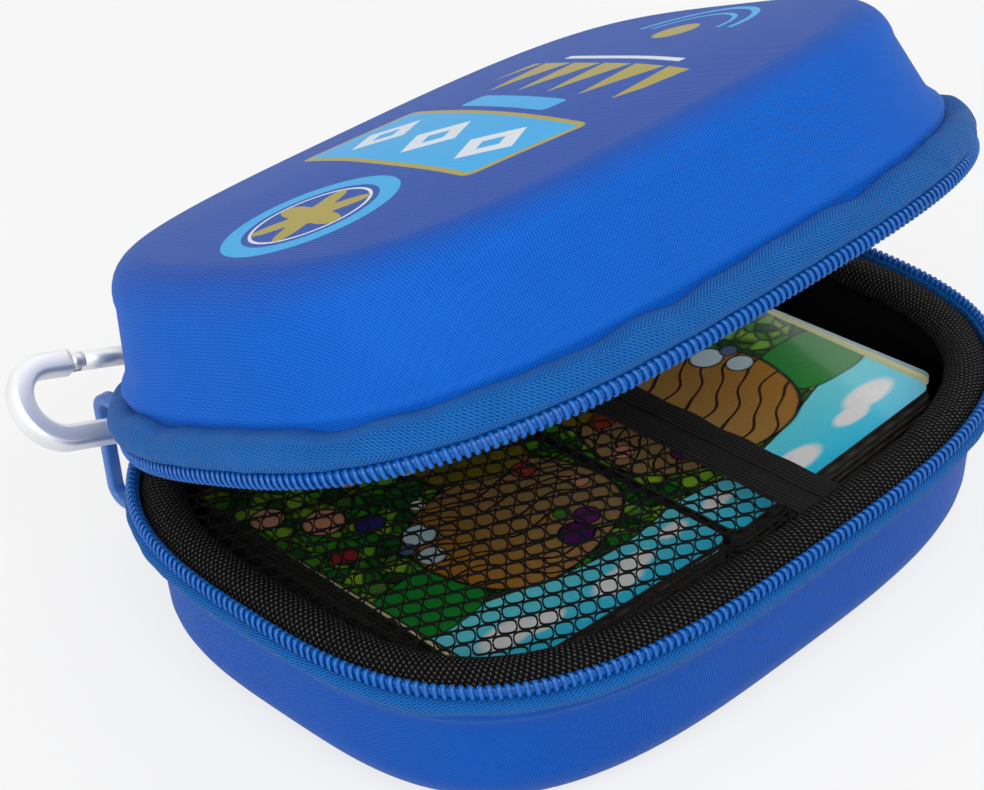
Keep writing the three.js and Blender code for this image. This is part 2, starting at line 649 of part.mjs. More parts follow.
function hookGeometries() {
  const section = roundedOblong(THREE.Shape, HOOK_THICK, HOOK_BAR, HOOK_BAR_CORNER);
  const bar = new THREE.ExtrudeGeometry(section, {
    steps: 36, curveSegments: 1, extrudePath: new HookPath(),
  });
  const pivotU = rearU + TONGUE_LENGTH / 2;
  const rearTongue = plate(TONGUE_LENGTH + TONGUE_ROOT, TONGUE_HEIGHT, TONGUE_THICK)
    .translate(-(rearU + (TONGUE_LENGTH - TONGUE_ROOT) / 2), 0, gateW);
  const noseTongue = plate(NOSE_TONGUE * 2, TONGUE_HEIGHT, TONGUE_THICK).translate(-NOSE_AHEAD, 0, gateW);
  const rivetBore = pin(RIVET_RADIUS + RIVET_PLAY, HOOK_THICK + CUT_OVERRUN, 16)
    .translate(-pivotU, 0, gateW);
  const body = toSolid(bar).add(toSolid(rearTongue)).add(toSolid(noseTongue)).subtract(toSolid(rivetBore));

  const gateStart = rearU + SEAT_GAP;
  const gateEnd = NOSE_AHEAD - SEAT_GAP;
  const gateLength = gateEnd - gateStart;
  const gateBar = pin(GATE_RADIUS, gateLength, 16).rotateZ(Math.PI / 2)
    .translate(-(gateStart + gateEnd) / 2, 0, gateW);
  const slotWide = TONGUE_THICK + 2 * SEAT_GAP;
  const rearSlotEnd = rearU + TONGUE_LENGTH + TONGUE_CLEAR;
  const rearSlot = plate(2 * (rearSlotEnd - gateStart), 2 * GATE_RADIUS + CUT_OVERRUN, slotWide)
    .translate(-gateStart, 0, gateW);
  const noseSlotDepth = NOSE_TONGUE + 2 * SEAT_GAP;
  const noseSlot = plate(2 * noseSlotDepth, 2 * GATE_RADIUS + CUT_OVERRUN, slotWide)
    .translate(-gateEnd, 0, gateW);
  const springBore = pin(SPRING_RADIUS + SEAT_GAP, SPRING_LENGTH + SEAT_GAP, 12).rotateZ(Math.PI / 2)
    .translate(-(rearSlotEnd + SPRING_LENGTH / 2), 0, gateW);
  const gate = toSolid(gateBar).subtract(toSolid(rearSlot)).subtract(toSolid(noseSlot))
    .subtract(toSolid(rivetBore)).subtract(toSolid(springBore));

  const shank = pin(RIVET_RADIUS, 2 * GATE_RADIUS + RIVET_HEAD_THICK, 16).translate(-pivotU, 0, gateW);
  const headAt = GATE_RADIUS + RIVET_HEAD_GAP + RIVET_HEAD_THICK / 2;
  let rivet = toSolid(shank);
  for (const end of [-1, 1]) {
    const head = pin(RIVET_HEAD, RIVET_HEAD_THICK, 16).translate(-pivotU, end * headAt, gateW);
    rivet = rivet.add(toSolid(head));
  }
  const springRod = pin(SPRING_RADIUS, SPRING_LENGTH - SEAT_GAP, 10).rotateZ(Math.PI / 2)
    .translate(-(rearSlotEnd + SPRING_LENGTH / 2 - SEAT_GAP), 0, gateW);
  return {
    body: toGeometry(body), gate: toGeometry(gate), rivet: toGeometry(rivet), spring: springRod, pivotU,
  };
}

const hook = hookGeometries();
addMesh(hookGroup, 'hook_body', hook.body, ALUMINIUM);
addMesh(hookGroup, 'hook_gate', hook.gate, ALUMINIUM);
addMesh(hookGroup, 'gate_rivet', hook.rivet, ALUMINIUM);
addMesh(hookGroup, 'gate_spring', hook.spring, ALUMINIUM);

// zip slider, parked at the end of the chain beside the hinge; x runs along the chain, y outwards
const parkX = HINGE_HALF + SEAT_GAP + SLIDER_LENGTH / 2 + SEAT_GAP;
const park = station(backAngle(parkX));
const sliderGroup = new THREE.Group();
sliderGroup.position.set(park.x, park.y, COIL_Z);
sliderGroup.rotation.z = Math.atan2(-park.nx, park.ny);
caseGroup.add(sliderGroup);

const bailY = SLIDER_STAND + SLIDER_PLATE / 2 + SEAT_GAP + BARREL_RADIUS;
const bailPostX = BARREL_WIDTH / 2 + SEAT_GAP + BAIL_WIRE;

function sliderGeometry() {
  const low = -SLIDER_HEIGHT / 2;
  const outerPlate = new THREE.BoxGeometry(SLIDER_LENGTH, SLIDER_PLATE, SLIDER_HEIGHT)
    .translate(0, SLIDER_STAND, low + SLIDER_HEIGHT / 2);
  const post = new THREE.BoxGeometry(SLIDER_LENGTH / 3, SLIDER_STAND, SLIDER_HEIGHT / 3)
    .translate(-SLIDER_LENGTH / 4, SLIDER_STAND / 2, low / 2);
  const innerPlate = new THREE.BoxGeometry(SLIDER_INNER_LENGTH, SLIDER_PLATE, SLIDER_HEIGHT / 2)
    .translate(0, -SLIDER_PLATE / 2 + SEAT_GAP, low / 2);
  const postLength = bailY - SLIDER_STAND + BAIL_WIRE;
  let slider = toSolid(outerPlate).add(toSolid(post)).add(toSolid(innerPlate));
  for (const side of [-1, 1]) {
    const bailPost = new THREE.BoxGeometry(2 * BAIL_WIRE, postLength, 2 * BAIL_WIRE)
      .translate(side * bailPostX, SLIDER_STAND + postLength / 2, 0);
    slider = slider.add(toSolid(bailPost));
  }
  const crossbar = pin(BAIL_WIRE, 2 * bailPostX, 12).rotateZ(Math.PI / 2).translate(0, bailY, 0);
  return toGeometry(slider.add(toSolid(crossbar)));
}

addMesh(sliderGroup, 'zip_slider', sliderGeometry(), BLUE_RING);

// moulded pull, hanging from the slider's bail by a barrel
function pullGeometry() {
  const shape = new THREE.Shape();
  const half = PULL_WIDTH / 2;
  shape.moveTo(-BARREL_WIDTH / 2, 0);
  shape.lineTo(-BARREL_WIDTH / 2, -2 * BARREL_RADIUS);
  shape.absarc(0, half - PULL_LENGTH, half, Math.PI, TURN, false);
  shape.lineTo(BARREL_WIDTH / 2, -2 * BARREL_RADIUS);
  shape.lineTo(BARREL_WIDTH / 2, 0);
  const tongue = cutSheet(shape, PULL_THICK, 10);
  tongue.translate(0, 0, -PULL_THICK / 2).rotateX(Math.PI / 2);
  const barrel = pin(BARREL_RADIUS, BARREL_WIDTH, 16).rotateZ(Math.PI / 2);
  const bore = pin(BAIL_WIRE + BARREL_PLAY, BARREL_WIDTH + CUT_OVERRUN, 16).rotateZ(Math.PI / 2);
  return toGeometry(toSolid(tongue).add(toSolid(barrel)).subtract(toSolid(bore)));
}

const pullMesh = addMesh(sliderGroup, 'slider_pull', pullGeometry(), BLUE_RING);
pullMesh.position.set(0, bailY, 0);

export default caseGroup;
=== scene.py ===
import math

import bmesh
import bpy
import numpy as np
from mathutils import Matrix, Vector


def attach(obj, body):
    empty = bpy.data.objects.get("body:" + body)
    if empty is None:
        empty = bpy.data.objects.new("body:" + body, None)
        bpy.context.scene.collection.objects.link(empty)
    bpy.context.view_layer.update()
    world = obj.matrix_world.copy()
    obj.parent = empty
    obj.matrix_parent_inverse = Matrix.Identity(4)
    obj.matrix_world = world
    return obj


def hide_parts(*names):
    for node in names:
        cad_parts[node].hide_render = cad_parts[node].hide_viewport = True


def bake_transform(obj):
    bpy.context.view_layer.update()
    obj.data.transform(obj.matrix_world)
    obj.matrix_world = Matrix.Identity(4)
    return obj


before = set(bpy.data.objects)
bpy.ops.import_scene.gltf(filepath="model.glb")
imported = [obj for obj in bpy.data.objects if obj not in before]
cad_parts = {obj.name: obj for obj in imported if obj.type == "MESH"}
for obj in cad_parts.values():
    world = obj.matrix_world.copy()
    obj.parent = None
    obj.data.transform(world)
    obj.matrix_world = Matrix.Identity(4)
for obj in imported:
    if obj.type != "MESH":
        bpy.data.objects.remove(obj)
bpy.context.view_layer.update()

# The view: a long lens looks down from the front left, with the corner of the case that is
# nearest at the bottom middle. The lens shift only frames the case as the photograph does.
photo_view = bpy.data.cameras.new("photo_view")
photo_view.sensor_width = 36
photo_view.lens = 91.27
photo_view.shift_x = -0.1318
photo_view.shift_y = 0.0452
photo_view.clip_start = 0.01


def put_in_scene(name, data):
    """A new object of the given mesh, curve, lamp or lens."""
    thing = bpy.data.objects.new(name, data)
    bpy.context.scene.collection.objects.link(thing)
    return thing


eye = put_in_scene("photo_view", photo_view)
turn_vector = Vector((2.01499405, -0.8902849, 0.4275287))
world_to_lens = Matrix.Rotation(turn_vector.length, 3, turn_vector.normalized())
lens_to_world = world_to_lens.transposed() @ Matrix.Diagonal((1, -1, -1))
eye.matrix_world = Matrix.Translation((-0.29664, -0.30648, 0.31882)) @ lens_to_world.to_4x4()
bpy.context.scene.camera = eye
bpy.context.scene.view_settings.view_transform = "Standard"


# The two halves of the case are moulded foam with a thin blue knit bonded to it. The mould draws
# the knit over the rounded edges in one piece, so its rows run on from the top into the walls.
HALF_LENGTH, HALF_DEPTH, ROUNDNESS = 0.088, 0.069, 3.1
SHELL_INSET, SHELL_WALL, RIM_DROP = 0.0033, 0.0027, 0.0055
COIL_Z, LID_COIL_Z, FOLD_Z = 0.0366, 0.0382, 0.0374
LID_REST_TURN = math.radians(20.8)


def rim_point(t):
    """Points of the case's outline, a rounded oblong, each with its outward normal."""
    c, s = np.cos(t), np.sin(t)
    x = np.sign(c) * np.abs(c) ** (2 / ROUNDNESS)
    y = np.sign(s) * np.abs(s) ** (2 / ROUNDNESS)
    gx = np.sign(x) * np.abs(x) ** (ROUNDNESS - 1) / HALF_LENGTH
    gy = np.sign(y) * np.abs(y) ** (ROUNDNESS - 1) / HALF_DEPTH
    size = np.hypot(gx, gy)
    return np.stack([HALF_LENGTH * x, HALF_DEPTH * y, gx / size, gy / size], axis=-1)


def rim_angle(x):
    """Where the back side of the outline reaches x."""
    return math.acos(math.copysign((abs(x) / HALF_LENGTH) ** (ROUNDNESS / 2), x))


def distance_along(points):
    """How far along a line of points each of them lies."""
    steps = np.linalg.norm(np.diff(np.asarray(points, float), axis=0), axis=1)
    return np.concatenate([[0], np.cumsum(steps)])


def rim_run(count, start=0.0, end=2 * math.pi, closed=True):
    """Points evenly spaced along the outline, as x, y, outward normal and distance run."""
    t = np.linspace(start, end, 6000)
    run = distance_along(rim_point(t)[:, :2])
    goals = np.linspace(0, run[-1], count + 1)[:count] if closed else np.linspace(0, run[-1], count)
    spaced = rim_point(np.interp(goals, run, t))
    return np.column_stack([spaced, goals]), run[-1]


def beside_rim(stations, inset, height):
    """The points that lie a distance inside the outline. Both values can vary along it."""
    x, y, out_x, out_y = stations[:, :4].T
    return np.column_stack([x - inset * out_x, y - inset * out_y, height + 0 * x])


CORNER_START, CORNER_LENGTH, CORNER_DEPTH, CORNER_PULL = 0.038, 0.040, 0.055, (0.72, -0.69)


def drawn_in(points, at_rim, beyond, level, reach):
    """The back left corner is drawn in by some millimetres, most at the rim and less beyond it."""
    x, y, z = np.asarray(points, float).T
    share = 1.0
    for part in ((-x - CORNER_START) / CORNER_LENGTH, y / CORNER_DEPTH):
        part = np.clip(part, 0, 1)
        share = share * part * part * (3 - 2 * part)
    much = share * (at_rim + (beyond - at_rim) * np.clip((z - level) / reach, 0, 1))
    return np.column_stack([x + CORNER_PULL[0] * much, y + CORNER_PULL[1] * much, z])


def base_place(points):
    """Where points drawn for the base lie on the real, slightly uneven case."""
    return drawn_in(points, 0.0018, 0.0002, COIL_Z, -0.03)


def lid_place(points):
    """Turns points of the closed lid open to the photographed angle, about the fold at the back."""
    turn = Matrix.Rotation(-LID_REST_TURN, 3, "X")
    fold = np.array([0, HALF_DEPTH, FOLD_Z])
    return (drawn_in(points, 0.0041, 0.0006, LID_COIL_Z, 0.035) - fold) @ np.array(turn).T + fold


def loft(name, rows, uvs, wrap_rows=False, wrap_columns=True, wrap_length=0.0, place=None, centres=False):
    """A mesh through rows of points. Its UV map is in millimetres of the real cloth or tape.
    With centres, the first and last rows are closed round a point in their middle."""
    rows, uvs = np.asarray(rows, float), np.asarray(uvs, float)
    count_r, count_c = rows.shape[:2]
    points = rows.reshape(-1, 3)
    faces, face_uvs = [], []
    row_spans = count_r if wrap_rows else count_r - 1
    column_spans = count_c if wrap_columns else count_c - 1
    around = uvs[-1, 0, 1] - uvs[0, 0, 1]
    across = around * count_r / max(1, count_r - 1)
    for i in range(row_spans):
        for j in range(column_spans):
            i2, j2 = (i + 1) % count_r, (j + 1) % count_c
            faces.append((i * count_c + j, i * count_c + j2, i2 * count_c + j2, i2 * count_c + j))
            last_row, last_column = i + 1 == count_r, j + 1 == count_c
            for a, b, da, db in ((i, j, 0, 0), (i, j2, 0, last_column), (i2, j2, last_row, last_column),
                                 (i2, j, last_row, 0)):
                u, v = uvs[a, b]
                face_uvs.append((u + wrap_length * db, v + across * da))
    for i in (0, count_r - 1) if centres else ():
        points = np.vstack([points, rows[i].mean(axis=0)])
        for j in range(count_c):
            j2 = (j + 1) % count_c
            faces.append((len(points) - 1, i * count_c + j, i * count_c + j2))
            face_uvs += [tuple(uvs[i].mean(axis=0)), tuple(uvs[i, j]), tuple(uvs[i, j2])]
    if place:
        points = place(points)
    mesh = bpy.data.meshes.new(name)
    mesh.from_pydata(points.tolist(), [], faces)
    layer = mesh.uv_layers.new(name="cloth")
    layer.data.foreach_set("uv", (np.array(face_uvs) * 1000).ravel())
    mesh.polygons.foreach_set("use_smooth", [True] * len(mesh.polygons))
    return put_in_scene(name, mesh)


def along_cloth(run, across):
    """Cloth coordinates of a row of points that lies at one distance across the cloth."""
    return np.column_stack([run, np.full(len(run), across)])


def as_built(piece):
    """The plain mesh that a piece has once its modifiers are applied."""
    return bpy.data.meshes.new_from_object(piece.evaluated_get(bpy.context.evaluated_depsgraph_get()))


def move_points(piece, rule):
    """Moves every point of a mesh to where the rule puts it."""
    co = np.empty(len(piece.data.vertices) * 3)
    piece.data.vertices.foreach_get("co", co)
    piece.data.vertices.foreach_set("co", rule(co.reshape(-1, 3)).ravel())


def tidy(piece, close_ends=False, facing=True):
    """Merges doubled points, closes open ends and turns the faces outwards."""
    work = bmesh.new()
    work.from_mesh(piece.data)
    bmesh.ops.remove_doubles(work, verts=work.verts, dist=2e-6)
    if close_ends:
        bmesh.ops.holes_fill(work, edges=[e for e in work.edges if e.is_boundary])
    if facing:
        bmesh.ops.recalc_face_normals(work, faces=work.faces)
    work.to_mesh(piece.data)
    work.free()
    return piece


class Wire:
    """A socket in a material's tree, with sums written as sums."""

    def __init__(self, tree, socket):
        self.tree, self.socket = tree, socket

    def math(self, operation, *values, clamp=False):
        node = self.tree.nodes.new("ShaderNodeMath")
        node.operation, node.use_clamp = operation, clamp
        for slot, value in zip(node.inputs, values):
            if isinstance(value, Wire):
                self.tree.links.new(value.socket, slot)
            else:
                slot.default_value = value
        return Wire(self.tree, node.outputs[0])

    def __add__(self, other): return self.math("ADD", self, other)
    def __radd__(self, other): return self.math("ADD", other, self)
    def __sub__(self, other): return self.math("SUBTRACT", self, other)
    def __rsub__(self, other): return self.math("SUBTRACT", other, self)
    def __mul__(self, other): return self.math("MULTIPLY", self, other)
    def __truediv__(self, other): return self.math("DIVIDE", self, other)
    def __abs__(self): return self.math("ABSOLUTE", self)
    def __pow__(self, other): return self.math("POWER", self, other)

    def wave(self, length, shift=0.0):
        """Runs from -1 to 1 and back once every length."""
        return self.math("SINE", self * (2 * math.pi / length) + shift)

    def low(self, other): return self.math("MINIMUM", self, other)
    def high(self, other): return self.math("MAXIMUM", self, other)
    def within(self, soft=0.12): return self.math("MULTIPLY_ADD", self, -1 / soft, 0.5, clamp=True)


class Finish:
    """One material: a Principled shader and whatever varies over its surface."""

    def __init__(self, name, colour, roughness=0.6, **constants):
        self.material = bpy.data.materials.new(name)
        self.material.use_nodes = True
        self.tree = self.material.node_tree
        self.shader = self.tree.nodes["Principled BSDF"]
        self.set("Base Color", colour)
        self.set("Roughness", roughness)
        for socket, value in constants.items():
            self.set(socket.replace("_", " "), value)

    def put(self, slot, value):
        if isinstance(value, Wire):
            self.tree.links.new(value.socket, slot)
        elif hasattr(value, "__len__") and slot.type == "RGBA" and len(value) == 3:
            slot.default_value = (*value, 1)
        else:
            slot.default_value = value

    def set(self, socket, value):
        self.put(self.shader.inputs[socket], value)

    def node(self, kind, sockets=(), out=0, stops=(), **settings):
        node = self.tree.nodes.new(kind)
        for name, value in settings.items():
            setattr(node, name, value)
        if stops:
            ramp = node.color_ramp
            while len(ramp.elements) < len(stops):
                ramp.elements.new(0.5)
            for element, (place, colour) in zip(ramp.elements, stops):
                element.position, element.color = place, (*colour, 1)
        for key, value in dict(sockets).items():
            self.put(node.inputs[key], value)
        return Wire(self.tree, node.outputs[out])

    def cloth(self):
        """The two UV directions, in millimetres, and both of them as one vector."""
        uv = self.node("ShaderNodeUVMap", uv_map="cloth")
        u, v = (self.node("ShaderNodeSeparateXYZ", {0: uv}, out=axis) for axis in (0, 1))
        return u, v, uv

    def place(self):
        """Object coordinates, in millimetres."""
        at = self.node("ShaderNodeTexCoord", out=3)
        return self.node("ShaderNodeVectorMath", {0: at, 3: 1000.0}, operation="SCALE")

    def noise(self, where, size, detail=2.0, rough=0.5):
        """Soft blotches of about the given size; the value runs from 0 to 1."""
        sockets = {"Vector": where, "Scale": 1 / size, "Detail": detail, "Roughness": rough}
        return self.node("ShaderNodeTexNoise", sockets)

    def mix(self, mask, first, second):
        return self.node("ShaderNodeMix", {0: mask, 6: first, 7: second}, out=2, data_type="RGBA")

    def raise_by(self, height, distance, strength):
        """Bump, with the height from 0 to 1 standing for a distance in metres."""
        bump = self.node("ShaderNodeBump", {"Height": height, "Distance": distance, "Strength": strength})
        self.set("Normal", bump)


def uv_wander(knit, uv):
    """The rows aren't quite straight: the cloth was stretched unevenly in the mould."""
    return knit.noise(uv, 14.0, 1.0) * 0.9


def knit_finish(name, colour, light, printed=False):
    """Fine knit: tiny slanted stitches in rows, a little lighter on the crown of each stitch."""
    knit = Finish(name, colour, 0.5, Sheen_Weight=0.16, Sheen_Roughness=0.25, Specular_IOR_Level=0.12)
    knit.set("Sheen Tint", (0.5, 0.62, 1.0, 1))
    u, v, uv = knit.cloth()
    course = (u + uv_wander(knit, uv)).wave(0.66) * 0.5 + 0.5
    stitch = ((u + v * 0.8).wave(0.9) * (v - u * 0.3).wave(0.74)) * 0.5 + 0.5
    height = stitch * 0.5 + course * 0.5
    blotch = knit.noise(uv, 9.0, 3.0)
    tone = stitch * 0.6 + course * 0.25 + blotch * 0.15
    cloth_colour = knit.mix(tone, colour, light)
    if printed:
        # The lid's flat top is coloured a darker, more violet indigo: painted shade for how the light falls on
        # the top, not a different cloth.
        flat = (abs(u) / 78) ** ROUNDNESS + (abs(v) / 56) ** ROUNDNESS
        painted_top_shade_mask = (flat - 1.0).within(0.5)
        painted_top_shade_colour = knit.mix(tone, (0.013, 0.041, 0.225), (0.043, 0.108, 0.49))
        cloth_colour = knit.mix(painted_top_shade_mask * 0.78, cloth_colour, painted_top_shade_colour)
        cloth_colour, ink = print_design(knit, u, v, cloth_colour)
        knit.set("Roughness", 0.62 - ink * 0.2)
        height = height * (1 - ink * 0.6)
    knit.set("Base Color", cloth_colour)
    knit.raise_by(height, 0.00014, 0.8)
    return knit.material


def print_design(knit, u, v, ground):
    """A plain printed design for the lid in sky blue, gold and white: a panel of diamonds, a ringed
    rosette and a row of pennants."""
    sky, gold, white = (0.02, 0.42, 0.86), (0.42, 0.34, 0.03), (0.78, 0.84, 0.9)

    def turned(x, y, lean):
        c, s = math.cos(lean), math.sin(lean)
        a, b = u - x, v - y
        return a * c + b * s, b * c - a * s

    def oblong(a, b, half_a, half_b, corner):
        qa, qb = abs(a) - (half_a - corner), abs(b) - (half_b - corner)
        pa, pb = qa.high(0), qb.high(0)
        return (pa * pa + pb * pb) ** 0.5 + qa.high(qb).low(0) - corner

    a, b = turned(-14, 1, -0.2)
    panel = oblong(a, b, 13.6, 36, 2.4)
    frame_mask = (abs(panel + 0.8) - 0.8).within()
    panel_mask = (panel + 1.4).within()
    spot = b.math("PINGPONG", b + 22, 11.0)
    diamonds = (abs(a) * 0.9 + spot * 0.95 - 7.4).within() * (abs(b) - 33).within()
    small = (abs(a) + spot * 1.1 - 3.4).within() * (abs(b) - 33).within()
    a, b = turned(-51, -5, 0.3)
    reach = (a * a + b * b) ** 0.5
    heading = b.math("ARCTAN2", b, a)
    petals = heading.math("COSINE", heading * 6)
    rosette = (reach - (8.5 + petals * 3.2)).within(0.2)
    ring = (abs(reach - 15.5) - 2.0).within()
    thin = (abs(reach - 11.8) - 0.35).within()
    a, b = turned(19, -4, -0.2)
    saw = b.math("PINGPONG", b + 40, 6.0)
    pennants = (saw - (a + 9) * 0.3).within(0.3) * (abs(a) - 8.5).within() * (abs(b) - 30).within()
    rule = (abs(a - 12.2) - 0.9).within() * (abs(b) - 22).within()
    plaque = oblong(a + 14.5, b, 3.0, 17, 1.4).within()
    a, b = turned(50, -3, -0.2)
    reach = (a * a + b * b) ** 0.5
    bows = ((abs(reach - 17) - 0.9).within() + (abs(reach - 12.5) - 0.6).within()).low(1)
    arcs = bows * (2 - a).within(0.3)
    dot = (reach - 5.2).within()
    for mask, shade in ((panel_mask, sky), (diamonds - small, white), (frame_mask, gold), (ring, sky),
                        (thin, white), (rosette, gold), (pennants, gold), (rule, white), (plaque, sky),
                        (arcs, sky), (dot, gold)):
        ground = knit.mix(mask, ground, shade)
    ink = (panel_mask + frame_mask + ring + thin + rosette + pennants + rule + plaque + arcs + dot).low(1)
    return ground, ink


# each half's depth, the lean of its wall, its rounding, the crown of its flat, where its wall swells
BASE_FORM = (0.0366, 0.0016, 0.012, 0.0, 0.0090)
LID_FORM = (0.0348, 0.006, 0.009, 0.0026, 0.0107)
# each half's form, its coil's height, which way its walls run from there, and where its points lie
HALVES = {"base": (BASE_FORM, COIL_Z, -1, base_place), "lid": (LID_FORM, LID_COIL_Z, 1, lid_place)}
SWELL, SWELL_WIDTH = 0.0016, 0.0019
rim_stations, rim_length = rim_run(232)


def shell_rows(form, offset, level, up, swell_at):
    """Rows from the rim to the middle of the flat, with the cloth's own coordinates for each point."""
    depth, lean, fillet, crown, _ = form
    radius, flat_drop = fillet - offset, depth - offset
    inset = SHELL_INSET + offset
    section = []
    for share in np.linspace(0, 1, 21):
        drop = RIM_DROP + (flat_drop - radius - RIM_DROP) * share
        swell = SWELL * math.exp(-((drop - swell_at) / SWELL_WIDTH) ** 2)
        section.append((inset + lean * share - swell, drop))
    for a in np.linspace(0, math.pi / 2, 10)[1:]:
        section.append((inset + lean + radius * (1 - math.cos(a)), flat_drop - radius + radius * math.sin(a)))
    walk = distance_along(section)
    rows, uvs = [], []
    edge = beside_rim(rim_stations, section[-1][0], 0)[:, :2]
    for (row_inset, drop), gone in zip(section, walk):
        rows.append(beside_rim(rim_stations, row_inset, level + up * drop))
        uvs.append(edge + rim_stations[:, 2:4] * (walk[-1] - gone))
    for share in (0.97, 0.92, 0.84, 0.72, 0.58, 0.42, 0.25, 0.1):
        rise = crown * (1 - share * share) ** 1.1
        rows.append(np.column_stack([edge * share, np.full(len(edge), level + up * (flat_drop + rise))]))
        uvs.append(edge * share)
    return np.array(rows), np.array(uvs)


def shell(name, body, offset, thick, finish):
    """A thin moulded layer, a distance inside the outer face of its half."""
    form, level, up, place = HALVES[body]
    outer, outer_uv = shell_rows(form, offset, level, up, form[-1])
    inner, inner_uv = shell_rows(form, offset + thick, level, up, 0.0)
    rows = np.concatenate([outer[::-1], inner])
    uvs = np.concatenate([outer_uv[::-1], inner_uv])
    piece = loft(name, rows, uvs, place=place, centres=True)
    tidy(piece)
    piece.data.materials.append(finish)
    return piece


# Base and lid are the same knit; the base's darker tones are painted shade, as less light falls on the lower
# half.
shaded_base_knit = knit_finish("royal_blue_knit", (0.0003, 0.036, 0.22), (0.002, 0.125, 0.62))
lid_knit = knit_finish("royal_blue_knit_printed", (0.0004, 0.044, 0.28), (0.003, 0.168, 0.78), printed=True)
for body, knit in (("base", shaded_base_knit), ("lid", lid_knit)):
    moulded = shell("moulded_" + body, body, 0.0, SHELL_WALL, knit)
    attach(moulded, body)
    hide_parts(body + "_shell")


# The linings are thin black napped knit, pressed against the inside of each moulded half with
# the foam and reaching up to the binding.
def lining_finish():
    nap = Finish("black_lining", (0.006, 0.006, 0.007), 0.9, Specular_IOR_Level=0.05)
    u, v, uv = nap.cloth()
    fleck = nap.noise(uv, 0.7, 2.0)
    nap.set("Base Color", nap.mix(fleck, (0.0025, 0.0025, 0.003), (0.010, 0.010, 0.011)))
    nap.raise_by(nap.noise(uv, 0.5, 2.0) * 0.6 + (u.wave(0.8) * v.wave(0.8)) * 0.4, 0.00015, 0.6)
    return nap.material


black_nap = lining_finish()
LINING_INSET, LINING_THICK = 0.003, 0.0007
for body in HALVES:
    lining = shell(body + "_lining_cloth", body, LINING_INSET, LINING_THICK, black_nap)
    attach(lining, body)
    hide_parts(body + "_lining")


# The rims of both halves are bound with coarse black woven tape over a soft cord. The tape puckers
# a little where it is pulled round the corners.
def binding_finish():
    weave = Finish("black_woven_binding", (0.01, 0.01, 0.011), 0.75, Specular_IOR_Level=0.06)
    u, v, uv = weave.cloth()
    over = (u + v * 0.4).wave(1.3) * (v - u * 0.1).wave(1.7)
    thread = over * 0.5 + 0.5
    fleck = weave.noise(uv, 0.6, 1.0)
    spark = ((thread + fleck * 0.7 - 1.02) * 3.0).low(1).high(0)
    dark = weave.mix(thread, (0.0010, 0.0010, 0.0012), (0.0075, 0.0075, 0.008))
    weave.set("Base Color", weave.mix(spark, dark, (0.1, 0.096, 0.095)))
    weave.raise_by(thread * 0.8 + fleck * 0.2, 0.0004, 0.85)
    return weave.material


woven_black = binding_finish()
BINDING_INSET, BINDING_DROP, BINDING_HALF, BINDING_GIRTH = 0.0060, 0.0027, (0.0048, 0.0033), 0.0258
PUCKER, PUCKER_LEAN, WANDER, WANDER_ROOM = 0.045, 0.6, 0.0001, 0.00012


def soft_noise(run, seed, waves):
    """Smooth wander along a closed run, made of a few whole waves."""
    dice = np.random.default_rng(seed)
    total = np.zeros_like(run)
    for count in waves:
        total += np.sin(run * 2 * math.pi * count / rim_length + dice.uniform(0, 2 * math.pi)) / len(waves)
    return total


def binding(body, seed):
    """The bound rim: an oval roll all round, with its pucker."""
    _, level, up, place = HALVES[body]
    stations, length = rim_run(420)
    rows, uvs = [], []
    sides = 18
    pucker = soft_noise(stations[:, 4], seed, (41, 67, 90, 23))
    wander = soft_noise(stations[:, 4], seed + 1, (7, 12, 19))
    for k in range(sides):
        a = 2 * math.pi * k / sides
        swell = 1 - PUCKER + PUCKER * pucker * math.cos(a - PUCKER_LEAN)
        inset = BINDING_INSET + BINDING_HALF[0] * swell * math.cos(a)
        drop = BINDING_DROP + (BINDING_HALF[1] - WANDER_ROOM) * swell * math.sin(a) + WANDER * wander
        rows.append(beside_rim(stations, inset, level + up * drop))
        uvs.append(along_cloth(stations[:, 4], BINDING_GIRTH * k / sides))
    piece = loft(body + "_binding", rows, uvs, wrap_rows=True, wrap_length=length, place=place)
    tidy(piece)
    piece.data.materials.append(woven_black)
    return piece


for body, seed in (("base", 3), ("lid", 8)):
    roll = binding(body, seed)
    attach(roll, body)
    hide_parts(body + "_rim_binding")


# The zip tapes are herringbone twill, sewn on as a raised belt right round each half up to the
# hinge. The edge that meets the knit is drawn in by its seam, so it wanders in shallow scallops.
def twill_finish():
    twill = Finish("zip_tape_twill", (0.002, 0.13, 0.5), 0.6, Sheen_Weight=0.04, Specular_IOR_Level=0.12)
    u, v, uv = twill.cloth()
    fold = v.math("PINGPONG", v + 2.3, 3.9)
    rib = (u + fold * 1.1 + uv_wander(twill, uv) * 0.4).wave(0.86) * 0.5 + 0.5
    warp = (v + u * 0.2).wave(0.62) * 0.5 + 0.5
    height = rib * 0.68 + warp * 0.32
    blotch = twill.noise(uv, 6.0, 2.0)
    tone = height * 0.8 + blotch * 0.2
    colour = twill.mix(tone, (0.0003, 0.03, 0.17), (0.005, 0.185, 0.62))
    # Near-black where the tape meets the knit: painted shade in the crease of the seam.
    seam_shade_mask = (abs(v) - 0.95).within(1.3)
    twill.set("Base Color", twill.mix(seam_shade_mask * 0.9, colour, (0.0002, 0.007, 0.045)))
    twill.raise_by(height, 0.0003, 0.9)
    return twill.material


tape_twill = twill_finish()
SLIDER_BAY, CHAIN_START, CHAIN_END = rim_angle(0.0384), rim_angle(0.054), rim_angle(-0.0383) - 2 * math.pi
TAPE_EDGE, BASE_TAPE, LID_TAPE = 0.0009, 0.006, 0.0076
END_INSET, END_TAPER, BAY_INSET, BAY_STEP = 0.0007, 0.007, 0.00092, 0.0010
SCALLOP, RIPPLE_OUT, RIPPLE_DOWN = 0.0009, 0.00022, 0.00012


def wall_lean(form, drop):
    """How far the leaning wall of a half has come inwards at that distance from its coil."""
    depth, lean, fillet = form[:3]
    return lean * (drop - RIM_DROP) / (depth - fillet - RIM_DROP)


